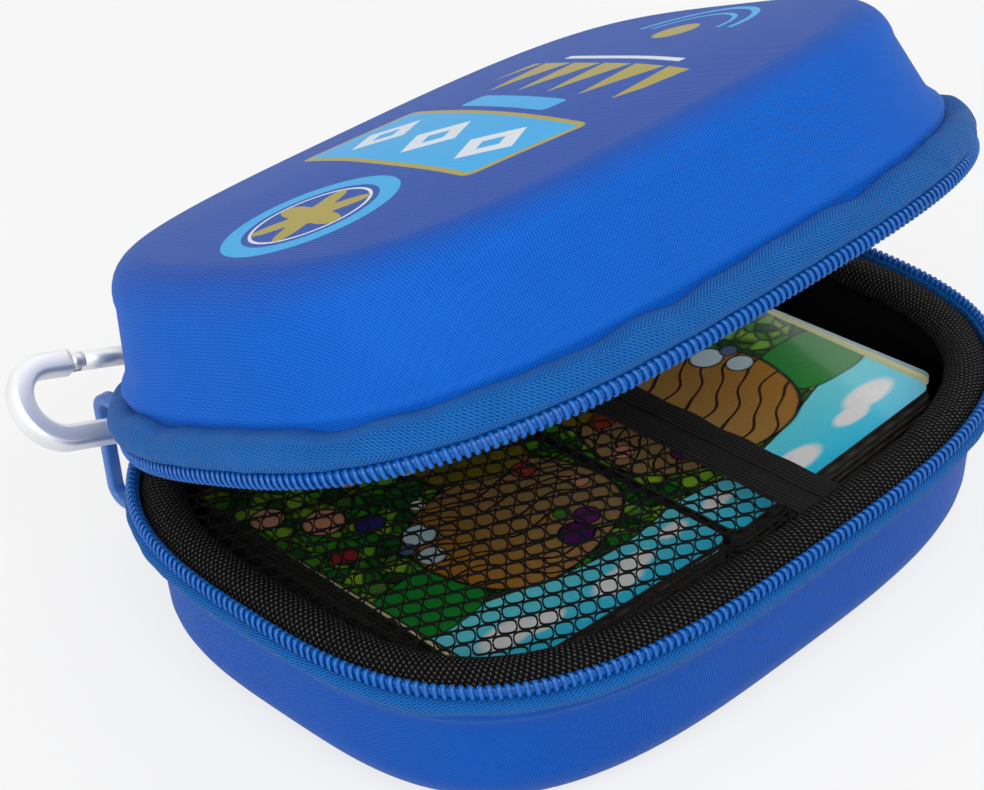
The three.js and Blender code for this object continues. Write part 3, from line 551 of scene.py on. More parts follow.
def smooth_section(points, steps=5):
    """Rounds off the corners of a section by running a spline through its points."""
    points = np.asarray(points, float)
    out = []
    last = len(points) - 1
    for i in range(last):
        p0, p1, p2, p3 = points[max(i - 1, 0)], points[i], points[i + 1], points[min(i + 2, last)]
        for t in np.linspace(0, 1, steps, endpoint=False):
            out.append(0.5 * (2 * p1 + (p2 - p0) * t + (2 * p0 - 5 * p1 + 4 * p2 - p3) * t * t
                              + (3 * p1 - p0 - 3 * p2 + p3) * t ** 3))
    out.append(points[-1])
    return np.array(out)


def tape_belt(body, height, seed):
    """The tape bulges over its seams, flattens at both ends and lies flat in the slider's bay."""
    form, level, up, place = HALVES[body]
    stations, _ = rim_run(476, SLIDER_BAY, CHAIN_END, closed=False)
    run = stations[:, 4] - rim_run(2, SLIDER_BAY, CHAIN_START, closed=False)[1]
    in_bay = np.clip(0.5 - run / BAY_STEP, 0, 1)
    top, low = TAPE_EDGE, TAPE_EDGE + height
    outside = smooth_section([
        (0.0011, top - 0.0001), (0.0002, top), (-0.0001, top + 0.0014), (-0.0014, top + 0.0021),
        (-0.0019, top + height * 0.5), (-0.0014, top + height * 0.76), (-0.0002, top + height * 0.95),
        (0.0016, top + height * 1.04), (SHELL_INSET + 0.0004 + wall_lean(form, low), low)], steps=4)
    inside = np.array([(SHELL_INSET - 0.0001, RIM_DROP + 0.0001), (0.0013, 0.0046), (0.0011, 0.0025)])
    section = np.concatenate([outside, inside])
    walk = distance_along(section)
    scallop = soft_noise(run, seed, (22, 31, 13, 9))
    ripple = soft_noise(run, seed + 5, (57, 83, 35))
    plump = np.sqrt(np.clip(np.minimum(run, run[-1] - run) / END_TAPER, 0, 1))
    rows, uvs = [], []
    for k, (inset, drop) in enumerate(section):
        share = min(1.0, max(0.0, (drop - top) / height))
        shown = k < len(outside)
        flat_end = max(inset, END_INSET)
        moved = flat_end + (inset - flat_end) * plump
        moved = moved + RIPPLE_OUT * ripple * math.sin(math.pi * share) * shown
        moved = moved + in_bay * (np.maximum(moved, BAY_INSET) - moved)
        sunk = drop + (SCALLOP * share ** 2 * scallop + RIPPLE_DOWN * ripple * share) * shown
        rows.append(beside_rim(stations, moved, level + up * sunk))
        uvs.append(along_cloth(run, walk[len(outside) - 1] - walk[k]))
    piece = loft(body + "_tape_belt", rows, uvs, wrap_rows=True, wrap_columns=False, place=place)
    tidy(piece, close_ends=True)
    piece.data.materials.append(tape_twill)
    return piece


for body, height, seed in (("base", BASE_TAPE, 21), ("lid", LID_TAPE, 34)):
    tape = tape_belt(body, height, seed)
    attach(tape, body)
    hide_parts(body + "_zip_tape")


# The zip is a nylon coil: one flattened loop after another, 1.62 mm apart, sewn along the edge of
# each tape round a thin cord. Its loops are instanced along the rim.
def coil_finish():
    nylon = Finish("blue_nylon", (0.003, 0.14, 0.62), 0.28, Specular_IOR_Level=0.45)
    speck = nylon.noise(nylon.place(), 0.9, 2.0)
    nylon.set("Base Color", nylon.mix(speck, (0.0004, 0.058, 0.29), (0.002, 0.165, 0.62)))
    nylon.set("Roughness", speck * 0.2 + 0.22)
    return nylon.material


nylon_blue = coil_finish()
PITCH, LOOP_RISE, WIRE_WIDE, WIRE_THICK = 0.00162, 0.0009, 0.0005, 0.00034
LOOP_HALF, LOOP_BACK, LOOP_TWIST, LOOP_LEAN = (0.0008, 0.0014), 0.0004, 0.0002, 0.00018
CORE_SIDES, CORE_AT, CORE_HALF, CORE_FACET = 8, (-0.0003, 0.0010), (0.0005, 0.0011), 0.0004


def wire_ring(name, points, wire, turned=False):
    """A mesh through the points of a closed ring of wire, listed section by section."""
    faces = []
    for at in range(0, len(points), wire):
        after = (at + wire) % len(points)
        for k in range(wire):
            k2 = (k + 1) % wire
            face = (at + k, at + k2, after + k2, after + k)
            faces.append((face[0], *face[:0:-1]) if turned else face)
    mesh = bpy.data.meshes.new(name)
    mesh.from_pydata([tuple(p) for p in points], [], faces)
    mesh.polygons.foreach_set("use_smooth", [True] * len(faces))
    return mesh


def loop_mesh():
    """One loop of the coil: a flattened ring of round wire, leaning along the chain."""
    around, wire = 12, 5
    points = []
    for i in range(around):
        a = 2 * math.pi * i / around
        c, s = math.cos(a), math.sin(a)
        centre = Vector((LOOP_HALF[0] * c - LOOP_BACK, LOOP_TWIST * s + LOOP_LEAN * c, LOOP_HALF[1] * s))
        for k in range(wire):
            b = 2 * math.pi * k / wire
            out, along = WIRE_THICK * math.cos(b), WIRE_WIDE * math.sin(b)
            points.append(centre + Vector((c * out, along, s * out)))
    return wire_ring("coil_loop", points, wire)


def repeat_unit(name, carrier, unit, material, spacing=0.0):
    """Geometry Nodes: a copy of a small mesh on every point of the carrier. Where a spacing is given,
    the carrier is a curve, and the copies follow it with their Y axis along it and Z kept up."""
    tree = bpy.data.node_groups.new("repeat_unit", "GeometryNodeTree")
    new, link = tree.nodes.new, tree.links.new
    slots = {}
    kinds = {"Carrier": "Geometry", "Unit": "Object", "Spacing": "Float", "Material": "Material"}
    for label, kind in kinds.items():
        slot = tree.interface.new_socket(label, in_out="INPUT", socket_type="NodeSocket" + kind)
        slots[label] = slot.identifier
    tree.interface.new_socket("Result", in_out="OUTPUT", socket_type="NodeSocketGeometry")
    source, result = new("NodeGroupInput"), new("NodeGroupOutput")
    info, copies = new("GeometryNodeObjectInfo"), new("GeometryNodeInstanceOnPoints")
    real, paint = new("GeometryNodeRealizeInstances"), new("GeometryNodeSetMaterial")
    places = source.outputs["Carrier"]
    if spacing:
        points, turn = new("GeometryNodeResampleCurve"), new("FunctionNodeAlignRotationToVector")
        points.mode, turn.axis, turn.pivot_axis = "LENGTH", "Y", "Z"
        link(places, points.inputs["Curve"])
        link(source.outputs["Spacing"], points.inputs["Length"])
        link(new("GeometryNodeInputTangent").outputs[0], turn.inputs["Vector"])
        link(turn.outputs[0], copies.inputs["Rotation"])
        places = points.outputs[0]
    link(places, copies.inputs["Points"])
    link(source.outputs["Unit"], info.inputs["Object"])
    link(info.outputs["Geometry"], copies.inputs["Instance"])
    link(copies.outputs[0], real.inputs[0])
    link(real.outputs[0], paint.inputs["Geometry"])
    link(source.outputs["Material"], paint.inputs["Material"])
    link(paint.outputs[0], result.inputs[0])
    holder = put_in_scene(name, carrier)
    unit_object = bpy.data.objects.new(name + "_unit", unit)
    modifier = holder.modifiers.new("repeat", "NODES")
    modifier.node_group = tree
    for label, value in (("Unit", unit_object), ("Spacing", spacing), ("Material", material)):
        modifier[slots[label]] = value
    mesh = as_built(holder)
    bpy.data.objects.remove(holder)
    bpy.data.objects.remove(unit_object)
    return put_in_scene(name, mesh)


def coil_chain(body):
    """The row of loops and, inside it, the cord that the tape's stitches hold."""
    _, level, up, place = HALVES[body]
    stations, length = rim_run(1200, CHAIN_START, CHAIN_END, closed=False)
    path = beside_rim(stations, 0, level + up * LOOP_RISE)
    curve = bpy.data.curves.new("coil_path", "CURVE")
    curve.dimensions = "3D"
    spline = curve.splines.new("POLY")
    spline.points.add(len(path) - 1)
    spline.points.foreach_set("co", np.column_stack([path, np.ones(len(path))]).ravel())
    loops = repeat_unit(body + "_coil.001", curve, loop_mesh(), nylon_blue, length / round(length / PITCH))
    stations = stations[::3]
    core, core_uv = [], []
    for k in range(CORE_SIDES):
        a = 2 * math.pi * k / CORE_SIDES
        inset, drop = CORE_AT[0] + CORE_HALF[0] * math.cos(a), CORE_AT[1] + CORE_HALF[1] * math.sin(a)
        core.append(beside_rim(stations, inset, level + up * drop))
        core_uv.append(along_cloth(stations[:, 4], k * CORE_FACET))
    cord = loft(body + "_coil_core", core, core_uv, wrap_rows=True, wrap_columns=False, place=place)
    tidy(cord, close_ends=True)
    cord.data.materials.append(nylon_blue)
    move_points(loops, place)
    return loops, cord


for body in HALVES:
    loops, cord = coil_chain(body)
    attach(loops, body)
    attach(cord, body)
    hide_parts(body + "_zip_coil")


# The hinge is one strip of the same blue tape, sewn to the back of both halves between the ends of
# the zip. The real strip folds along the parting line when the lid moves; here it is built as it lies
# at the photographed angle.
HINGE_HALF, HINGE_THICK, HINGE_SEAM = 0.0378, 0.0008, 0.020


def hinge_cloth():
    """The strip as it lies at the photographed angle, from the base's wall up to the lid's."""
    stations, _ = rim_run(60, rim_angle(-HINGE_HALF), rim_angle(HINGE_HALF), closed=False)

    def side(form, height, level, up):
        end = height * 1.12
        end_inset = SHELL_INSET - 0.0002 + wall_lean(form, end)
        shape = smooth_section([(0.0, -0.0006), (-0.0001, height * 0.35), (0.0002, height * 0.75),
                                (end_inset - 0.0012, height * 0.98), (end_inset - 0.0003, end)])
        return [beside_rim(stations, inset, level + up * drop) for inset, drop in shape]

    lower = side(BASE_FORM, BASE_TAPE, COIL_Z, -1)[::-1]
    upper = [lid_place(row) for row in side(LID_FORM, LID_TAPE, LID_COIL_Z, 1)]
    rows = np.array(lower + upper)
    walk = distance_along(rows[:, 30])
    uvs = [along_cloth(stations[:, 4], w - HINGE_SEAM) for w in walk]
    strip = loft("hinge_strip", rows, uvs, wrap_columns=False)
    tidy(strip, facing=False)
    thick = strip.modifiers.new("tape", "SOLIDIFY")
    thick.thickness, thick.offset = HINGE_THICK, 1.0
    solid = as_built(strip)
    strip.modifiers.clear()
    strip.data = solid
    strip.data.materials.append(tape_twill)
    return strip


hinge_strip = hinge_cloth()
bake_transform(hinge_strip)
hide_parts("base_hinge_strip", "lid_hinge_strip")


# Two decks of cards lie side by side and lean on the rounded bottom with their outer edges. The
# cards are varnished board with rounded corners, printed on the face and cream at the cut edges;
# here the cut edges are coloured near-black, as painted shade inside the case.
CARD_WIDTH, CARD_HEIGHT, CARD_CORNER, CARD_THICK, CARD_STEP = 0.063, 0.088, 0.003, 0.0004, 0.0007
DECK_TOP, DECK_TILT, DECK_HALF_GAP = 0.0276, math.radians(3), 0.0012
STACK_DROP = (DECK_TOP - CARD_WIDTH * math.sin(DECK_TILT) - 0.0037 - 0.0003) / math.cos(DECK_TILT)


def soft_oblong(half_a, half_b, corner, steps=5):
    """A rounded oblong, as pairs of distances from its middle."""
    points = []
    for ca, cb, start in ((1, 1, 0), (-1, 1, 90), (-1, -1, 180), (1, -1, 270)):
        for k in range(steps + 1):
            a = math.radians(start + 90 * k / steps)
            points.append((ca * (half_a - corner) + corner * math.cos(a),
                           cb * (half_b - corner) + corner * math.sin(a)))
    return points


def in_deck(points, side):
    """Puts points measured from a card's middle into the deck on that side."""
    tilt = -side * DECK_TILT
    x, y, z = points[:, 0] - side * CARD_WIDTH / 2, points[:, 1], points[:, 2]
    middle = side * (DECK_HALF_GAP + CARD_WIDTH * math.cos(DECK_TILT))
    return np.column_stack([middle + x * math.cos(tilt) + z * math.sin(tilt), y,
                            DECK_TOP - x * math.sin(tilt) + z * math.cos(tilt)])


def card_mesh(name, side, levels, shift, turn, materials):
    """A card or a pile of them: rings of the outline at rising levels, printed on top."""
    c, s = math.cos(turn), math.sin(turn)
    rows, uvs = [], []
    for z, shrink, off_x, off_y in levels:
        ring = np.array(soft_oblong(CARD_WIDTH / 2 - shrink, CARD_HEIGHT / 2 - shrink, CARD_CORNER - shrink, 6))
        turned = np.column_stack([ring[:, 0] * c - ring[:, 1] * s + shift[0] + off_x,
                                  ring[:, 0] * s + ring[:, 1] * c + shift[1] + off_y, np.full(len(ring), z)])
        rows.append(in_deck(turned, side))
        uvs.append(ring)
    piece = loft(name, rows, uvs, centres=True)
    tidy(piece)
    for material in materials:
        piece.data.materials.append(material)
    up = Vector((-math.sin(side * DECK_TILT), 0, math.cos(DECK_TILT)))
    for face in piece.data.polygons:
        face.use_smooth = False
        if face.normal.dot(up) > 0.999:
            face.material_index = 1
    return piece


def board_finish():
    board = Finish("card_edge_board", (0.72, 0.68, 0.58), 0.75, Specular_IOR_Level=0.3)
    at = board.place()
    height = board.node("ShaderNodeSeparateXYZ", {0: at}, out=2)
    layer = height.wave(0.32) * 0.5 + 0.5
    speck = board.noise(at, 1.4, 3.0)
    grain = layer * 0.65 + speck * 0.35
    # The cut edges are coloured near-black rather than cream: painted shade of the deep case.
    board.set("Base Color", board.mix(grain, (0.012, 0.0105, 0.009), (0.07, 0.063, 0.056)))
    board.raise_by(layer, 0.00008, 0.6)
    return board.material


def plain_face(name, colour, edge):
    """A printed face that shows only as a thin strip beside the card above it."""
    face = Finish(name, colour, 0.28, Coat_Weight=0.4, Coat_Roughness=0.1)
    u, v, uv = face.cloth()
    rim = ((abs(u) - 30).high(abs(v) - 42.5)).within(0.2)
    face.set("Base Color", face.mix(rim, edge, face.mix(face.noise(uv, 9.0, 1.0), colour, edge)))
    face.set("Roughness", face.noise(uv, 3.0) * 0.1 + 0.22)
    return face.material


def picture_face(name, flip):
    """A made-up landscape: leaves, a ploughed round hill, a strip of sky with clouds, coloured balls."""
    face = Finish(name, (0.05, 0.2, 0.03), 0.25, Coat_Weight=0.5, Coat_Roughness=0.08)
    u, v, uv = face.cloth()
    u = u * flip
    drift = face.node("ShaderNodeTexNoise", {"Vector": uv, "Scale": 0.12}, out=1)
    warp = face.node("ShaderNodeVectorMath", {0: uv, 1: drift}, operation="ADD")
    cells = {"Vector": warp, "Scale": 0.26}
    edges = face.node("ShaderNodeTexVoronoi", cells, feature="DISTANCE_TO_EDGE")
    tint = face.node("ShaderNodeSeparateColor", {0: face.node("ShaderNodeTexVoronoi", cells, out="Color")})
    leaves = face.node("ShaderNodeValToRGB", {0: tint}, stops=[
        (0.0, (0.0062, 0.0775, 0.0093)), (0.35, (0.0186, 0.202, 0.0186)), (0.6, (0.0775, 0.372, 0.0186)),
        (0.82, (0.31, 0.589, 0.031)), (1.0, (0.0155, 0.139, 0.031))])
    vein = (edges * 6).low(1)
    colour = face.mix(vein, (0.002, 0.006, 0.003), leaves)

    def blob(x, y, half_a, half_b, lean, power=2.0):
        c, s = math.cos(lean), math.sin(lean)
        a, b = u - x, v - y
        p, q = abs(a * c + b * s) / half_a, abs(b * c - a * s) / half_b
        return (p ** power + q ** power) ** (1 / power)

    def paint(colour, size, shade, soft, line=0.05):
        inside = (size - 1).within(soft)
        core = (size - 1 + line).within(soft)
        return face.mix(core, face.mix(inside, colour, (0.004, 0.003, 0.003)), shade)

    sky = v + 26 + (u + 10).wave(95.0) * 4
    colour = face.mix(sky.within(0.4), colour, (0.035, 0.02, 0.01))
    sky_tone = face.mix(((v + 44) / 20).low(1), (0.031, 0.62, 0.92), (0.186, 0.853, 0.92))
    colour = face.mix((sky + 0.6).within(0.3), colour, sky_tone)
    for x, y, half in ((-21, -35, 7.0), (-13, -37, 5.0), (6, -38, 6.5), (13, -36, 5.0), (26, -34, 4.0)):
        colour = face.mix((blob(x, y, half, half * 0.45, 0.05) - 1).within(0.35), colour, (0.92, 0.92, 0.92))
    grass = blob(-24, -17, 12, 9, 0.1, 3.0)
    colour = paint(colour, grass, (0.0124, 0.264, 0.031), 0.06)
    hill_tone = face.mix(((u + 14) / 34).low(1).high(0), (0.419, 0.186, 0.0232), (0.372, 0.232, 0.093))
    furrow = (u * 0.3 + v + (u + 4).wave(31.0) * 2.2 + (u * 0.7 - v).wave(12.0) * 0.5).wave(5.4)
    hill_tone = face.mix(((furrow - 0.86) * 9).low(1).high(0), hill_tone, (0.03, 0.012, 0.004))
    colour = paint(colour, blob(7, -9, 24, 19, 0.25, 2.6), hill_tone, 0.03, 0.035)
    olive = face.mix(((v - 2) / 20).low(1).high(0), (0.295, 0.217, 0.0155), (0.155, 0.155, 0.0186))
    colour = paint(colour, blob(16, 14, 13, 9, -0.4, 2.4), olive, 0.05)
    balls = ((-10, 1, 4.2, (0.651, 0.853, 0.92)), (-13, -6, 3.4, (0.542, 0.713, 0.775)),
             (-15, -1, 2.2, (0.093, 0.155, 0.31)), (12, -21, 4.4, (0.0775, 0.0124, 0.109)),
             (18, -18, 3.4, (0.139, 0.0186, 0.155)), (15, -14, 2.2, (0.062, 0.217, 0.031)),
             (21, 3, 3.2, (0.434, 0.0543, 0.031)), (26, -8, 2.6, (0.775, 0.31, 0.202)),
             (-20, 18, 5.2, (0.853, 0.372, 0.217)), (-27, 27, 4.2, (0.853, 0.403, 0.264)),
             (-6, 27, 4.6, (0.806, 0.341, 0.186)), (-14, 11, 3.6, (0.031, 0.031, 0.232)),
             (-25, 6, 3.2, (0.388, 0.031, 0.031)), (4, 20, 2.2, (0.92, 0.92, 0.92)),
             (22, 27, 3.0, (0.92, 0.31, 0.388)), (10, 34, 4.0, (0.031, 0.264, 0.124)),
             (-3, 9, 2.0, (0.92, 0.92, 0.92)), (27, 17, 2.4, (0.92, 0.853, 0.465)))
    for x, y, half, shade in balls:
        colour = paint(colour, blob(x, y, half, half * 0.86, 0.3), shade, 0.12, 0.14)
    face.set("Base Color", colour)
    face.set("Roughness", face.noise(uv, 4.0) * 0.12 + 0.2)
    return face.material


shaded_edge_board = board_finish()
yellow_face = plain_face("card_face_yellow", (0.56, 0.6, 0.1), (0.75, 0.76, 0.4))
blue_face = plain_face("card_face_blue", (0.1, 0.42, 0.62), (0.5, 0.72, 0.8))
EDGE_ROUND, CARD_SAG, PILE_LAYERS, PILE_JITTER = 0.00006, 0.00025, 30, 0.00016
shifts = {"left": ((0.0, 0.0), (-0.0004, 0.0006), (0.0006, 0.0008)),
          "right": ((0.0, 0.0), (0.0023, 0.0012), (0.0037, 0.0022))}
for side, word, flip in ((-1, "left", 1), (1, "right", -1)):
    picture = picture_face("card_face_picture_" + word, flip)
    kinds = (("picture", 0.0, picture), ("yellow", 0.02, yellow_face), ("blue", 0.034, blue_face))
    for count, (kind, turn, printed) in enumerate(kinds):
        low = -CARD_THICK - count * CARD_STEP
        levels = [(low - CARD_SAG, 0, 0, 0), (low + CARD_THICK - EDGE_ROUND, 0, 0, 0),
                  (low + CARD_THICK, EDGE_ROUND, 0, 0)]
        card = card_mesh(f"{word}_card_{kind}_board", side, levels, shifts[word][count], turn * side,
                         (shaded_edge_board, printed))
        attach(card, "base")
        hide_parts(f"{word}_card_{kind}")
    dice = np.random.default_rng(5 + side)
    rise = (STACK_DROP - len(kinds) * CARD_STEP) / PILE_LAYERS
    levels = []
    for k in range(PILE_LAYERS):
        off = dice.normal(0, PILE_JITTER, 2)
        z = rise * k - STACK_DROP
        levels += [(z + share * rise + gap, shrink, *off)
                   for share, gap, shrink in ((0, 0.00002, EDGE_ROUND), (0.5, 0, 0), (1, -0.00002, EDGE_ROUND))]
    pile = card_mesh(f"{word}_pile_of_cards", side, levels, (0.0004, -0.0004), 0.0, (shaded_edge_board, shaded_edge_board))
    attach(pile, "base")
    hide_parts(f"{word}_card_stack")


# The pocket is warp-knitted black net: rounded six-sided meshes of thin double cord, stretched
# from the binding at the left end to the elastic across the middle.
NET_Z, NET_EDGE_X, MESH_X, MESH_Y = 0.0349, 0.0032, 0.0070, 0.0046
NET_SKEW, NET_MARGIN, NET_SAG, NET_CORNER, NET_LIFT = 0.18, 0.0078, 0.0006, 5.5, 0.00012


def black_cord_finish():
    cord = Finish("black_net_cord", (0.006, 0.006, 0.0065), 0.6, Specular_IOR_Level=0.1)
    strand = cord.noise(cord.place(), 0.45, 2.0)
    cord.set("Base Color", cord.mix(strand, (0.0012, 0.0012, 0.0015), (0.009, 0.009, 0.0095)))
    cord.set("Roughness", strand * 0.3 + 0.45)
    return cord.material


def net_mesh_unit():
    """One mesh of the net: a rounded six-sided loop of thin cord."""
    around, wire, radius = 16, 4, 0.00023
    diagonal = math.hypot(MESH_X / 2, MESH_Y / 2)
    sides = ((0, 1, MESH_Y / 2), (MESH_X / 2 / diagonal, MESH_Y / 2 / diagonal, diagonal / 2),
             (-MESH_X / 2 / diagonal, MESH_Y / 2 / diagonal, diagonal / 2))
    points = []
    for i in range(around):
        a = 2 * math.pi * i / around + 0.2
        c, s = math.cos(a), math.sin(a)
        shares = [abs((nx * c + ny * s) / (far - radius * 0.85)) for nx, ny, far in sides]
        reach = sum(share ** NET_CORNER for share in shares) ** (-1 / NET_CORNER)
        for k in range(wire):
            b = 2 * math.pi * k / wire + math.pi / 4
            out = reach + radius * math.cos(b)
            points.append((c * out, s * out, radius * math.sin(b) + NET_LIFT * math.cos(3 * a)))
    return wire_ring("net_loop", points, wire, turned=True)


def inside_rim(x, y, inset):
    """Whether a point of the plan lies that far inside the outline."""
    return (abs(x) / (HALF_LENGTH - inset)) ** ROUNDNESS + (abs(y) / (HALF_DEPTH - inset)) ** ROUNDNESS < 1


places = []
for column in range(28):
    for row in range(-18, 20):
        x = NET_EDGE_X - MESH_X * 0.35 - column * MESH_X / 2
        y = (row + 0.5 * (column % 2)) * MESH_Y
        if inside_rim(x, y + NET_SKEW * x, NET_MARGIN):
            places.append((x, y, 0.0))
cloud = bpy.data.meshes.new("net_places")
cloud.from_pydata(places, [], [])
net = repeat_unit("pocket_net_cords", cloud, net_mesh_unit(), black_cord_finish())


def stretch_net(points):
    """Skews the rows as the net was pulled, lets them wander and sinks the middle a little."""
    x, y, z = points.T
    y = y + NET_SKEW * x
    slack = np.clip(1 - (np.abs(x + 0.039) / 0.043) ** 2, 0, 1) * np.clip(1 - (y / 0.062) ** 2, 0, 1)
    return np.column_stack([x + 0.0004 * np.sin(y * 210 + x * 60) + 0.0003 * np.sin(y * 95 - 1),
                            y + 0.0005 * np.sin(x * 150 + y * 40 + 1), z + NET_Z - NET_SAG * slack])


move_points(net, stretch_net)
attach(net, "base")
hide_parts("pocket_net")


# The free edge of the net is hemmed with two strips of ribbed black elastic sewn edge to edge. The
# elastic is pulled tight from the front binding to the back one.
BAND_START, BAND_WIDTH, BAND_HALF, BAND_Z = 0.003, 0.0125, 0.0613, 0.0347


def elastic_finish():
    elastic = Finish("black_ribbed_elastic", (0.008, 0.008, 0.009), 0.75, Specular_IOR_Level=0.06)
    u, v, _ = elastic.cloth()
    rib = v.wave(0.9) * 0.5 + 0.5
    weave = (u.wave(0.55) * v.wave(0.9)) * 0.5 + 0.5
    height = rib * 0.6 + weave * 0.4
    elastic.set("Base Color", elastic.mix(height, (0.001, 0.001, 0.0012), (0.03, 0.029, 0.029)))
    elastic.raise_by(height, 0.0002, 0.7)
    return elastic.material


def hem_band():
    """Two ribbed strips side by side, drawn together at the seam and slightly wavy along the edges."""
    y = np.linspace(-BAND_HALF, BAND_HALF, 160)
    section = []
    for start, end in ((0.0, 0.0061), (0.0064, BAND_WIDTH)):
        mid, half = (start + end) / 2, (end - start) / 2
        section += [(mid + half * a, b) for a, b in ((-0.98, 0.0001), (-0.8, 0.00052), (0.0, 0.00062),
                                                     (0.8, 0.00052), (0.98, 0.0001))]
    ring = section + [(a, -b) for a, b in reversed(section)]
    wave = 0.00012 * np.sin(y * 520) + 0.0001 * np.sin(y * 317 + 1)
    rows, uvs = [], []
    for (across, rise), gone in zip(ring, distance_along(ring)):
        edge = (across / BAND_WIDTH - 0.5) * 2
        rows.append(np.column_stack([BAND_START + across + wave * abs(edge), y,
                                     BAND_Z + rise + 0.00012 * np.sin(y * 430 + across * 300)]))
        uvs.append(along_cloth(y, gone))
    band = loft("hem_elastic", rows, uvs, wrap_rows=True, wrap_columns=False)
    tidy(band, close_ends=True)
    band.data.materials.append(elastic_finish())
    return band


band = hem_band()
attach(band, "base")
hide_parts("net_hem_band")


# A moulded blue plastic loop stands upright behind the left end of the case and carries the snap
# hook. It is a flat bar bent to a rounded oblong, with softened edges.
RING_X, RING_Y, RING_Z = -0.0605, 0.0718, 0.0225
RING_REACH, RING_RISE, RING_TURN = 0.0144, 0.026, 0.0033
RING_THICK, RING_WIDE, RING_STEP = 0.0024, 0.0032, 0.0015


def gloss_finish(name, dark, light, rough=0.3):
    gloss = Finish(name, light, rough, Specular_IOR_Level=0.5, Coat_Weight=0.2, Coat_Roughness=0.15)
    cloudy = gloss.noise(gloss.place(), 6.0, 3.0)
    scuff = gloss.noise(gloss.place(), 0.8, 4.0, 0.7)
    gloss.set("Base Color", gloss.mix(cloudy, dark, light))
    gloss.set("Roughness", scuff * 0.25 + rough - 0.1)
    gloss.raise_by(scuff, 0.00003, 0.4)
    return gloss.material


def sweep(name, path, across, section, closed=False):
    """A bar along a path, for hooks and loops. across is the second axis of its section at every
    station, and a station's own outward axis is square to it and to the path."""
    path, across = np.asarray(path, float), np.asarray(across, float)
    if closed:
        along = np.roll(path, -1, axis=0) - np.roll(path, 1, axis=0)
    else:
        along = np.gradient(path, axis=0)
    along /= np.linalg.norm(along, axis=1)[:, None]
    out = np.cross(along, across)
    out /= np.linalg.norm(out, axis=1)[:, None]
    columns = [path + out * a + across * b for a, b in section]
    uvs = [along_cloth(distance_along(path), w) for w in distance_along(section)]
    piece = loft(name, columns, uvs, wrap_rows=True, wrap_columns=closed)
    return tidy(piece, close_ends=not closed)


ring_gloss = gloss_finish("moulded_blue_plastic", (0.03, 0.13, 0.46), (0.06, 0.2, 0.6))
ring_path = np.array([(RING_X, RING_Y + a, RING_Z + b)
                      for a, b in soft_oblong(RING_REACH / 2, RING_RISE / 2, RING_TURN, 9)])
fine_path = []
for point, follower in zip(ring_path, np.roll(ring_path, -1, axis=0)):
    steps = max(1, round(math.dist(point, follower) / RING_STEP))
    fine_path += [point + (follower - point) * k / steps for k in range(steps)]
carry_loop = sweep("carry_loop", fine_path, [(1, 0, 0)] * len(fine_path),
                   soft_oblong(RING_THICK / 2, RING_WIDE / 2, 0.0007, 4), closed=True)
carry_loop.data.materials.append(ring_gloss)
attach(carry_loop, "ring")
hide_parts("carry_ring")


# A short piece of blue webbing is folded round the loop's inner bar. Both of its ends are spread and
# stitched to the back wall just under the zip tape.
TAB_TOP, TAB_HEIGHT, TAB_THICK, TAB_WING, TAB_EYE, RING_BAR_Y = 0.01, 0.011, 0.001, 0.0058, 0.00205, 0.0646


def webbing_tab():
    """The webbing's line seen from above: one wing, round the bar and back to the other wing."""
    foot = rim_point(np.array([rim_angle(RING_X)]))[0]
    normal = foot[2:]
    tangent = np.array([normal[1], -normal[0]])
    wall = foot[:2] - (SHELL_INSET - 0.0003 + wall_lean(BASE_FORM, TAB_TOP)) * normal
    base = base_place([[*wall, 0.0211]])[0][:2]
    bar = np.array([RING_X, RING_BAR_Y])
    toward = math.atan2(*(bar - base)[::-1])
    wing = ((TAB_WING, 0.0005), (TAB_WING - 0.0012, 0.00052), (0.0034, 0.0009), (TAB_EYE + 0.0006, 0.0020))
    line = [base + tangent * along + normal * out for along, out in wing]
    for a in toward + math.pi * (np.arange(17) / 16 - 0.5):
        line.append(bar + (TAB_EYE + 0.0005) * np.array([math.cos(a), math.sin(a)]))
    line += [base - tangent * along + normal * out for along, out in reversed(wing)]
    line = smooth_section(line, steps=3)
    path = np.column_stack([line, np.full(len(line), COIL_Z - TAB_TOP - TAB_HEIGHT / 2)])
    tab = sweep("ring_webbing", path, [(0, 0, 1)] * len(path),
                soft_oblong(TAB_THICK / 2 - 0.00004, TAB_HEIGHT / 2, 0.0004, 3))
    webbing = Finish("blue_webbing", (0.002, 0.1, 0.42), 0.7, Sheen_Weight=0.05, Specular_IOR_Level=0.15)
    u, v, _ = webbing.cloth()
    weave = (u + v.math("PINGPONG", v, 1.6)).wave(0.9) * 0.5 + 0.5
    webbing.set("Base Color", webbing.mix(weave, (0.001, 0.05, 0.24), (0.004, 0.15, 0.52)))
    webbing.raise_by(weave, 0.0002, 0.7)
    tab.data.materials.append(webbing.material)
    return tab


tab = webbing_tab()
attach(tab, "base")
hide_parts("ring_tab")


# The snap hook is a bent aluminium bar, tumbled to a bright polish. Its nose ends in a flat tongue,
# and a second tongue at the other end carries the gate.
HOOK_AT, HOOK_TURN, HOOK_LEAN = Vector((-0.0605, 0.0767, 0.0355)), math.radians(19), math.radians(48)
GATE_W, SPINE_W, BEND, FRONT_U, REAR_U, NOSE_U = 0.009, -0.0075, 0.00825, 0.01225, -0.01625, 0.006


def hook_place(points):
    """Puts points drawn with u along the hook, y across it and w up into the hanging hook."""
    points = np.asarray(points, float)
    c, s = math.cos(HOOK_TURN), math.sin(HOOK_TURN)
    back, rise = math.sin(HOOK_LEAN), math.cos(HOOK_LEAN)
    u, across, w = points.T
    x, y, z = -u, across * rise + w * back, w * rise - across * back
    return np.column_stack([HOOK_AT.x + x * c + z * s, HOOK_AT.y + y, HOOK_AT.z - x * s + z * c])


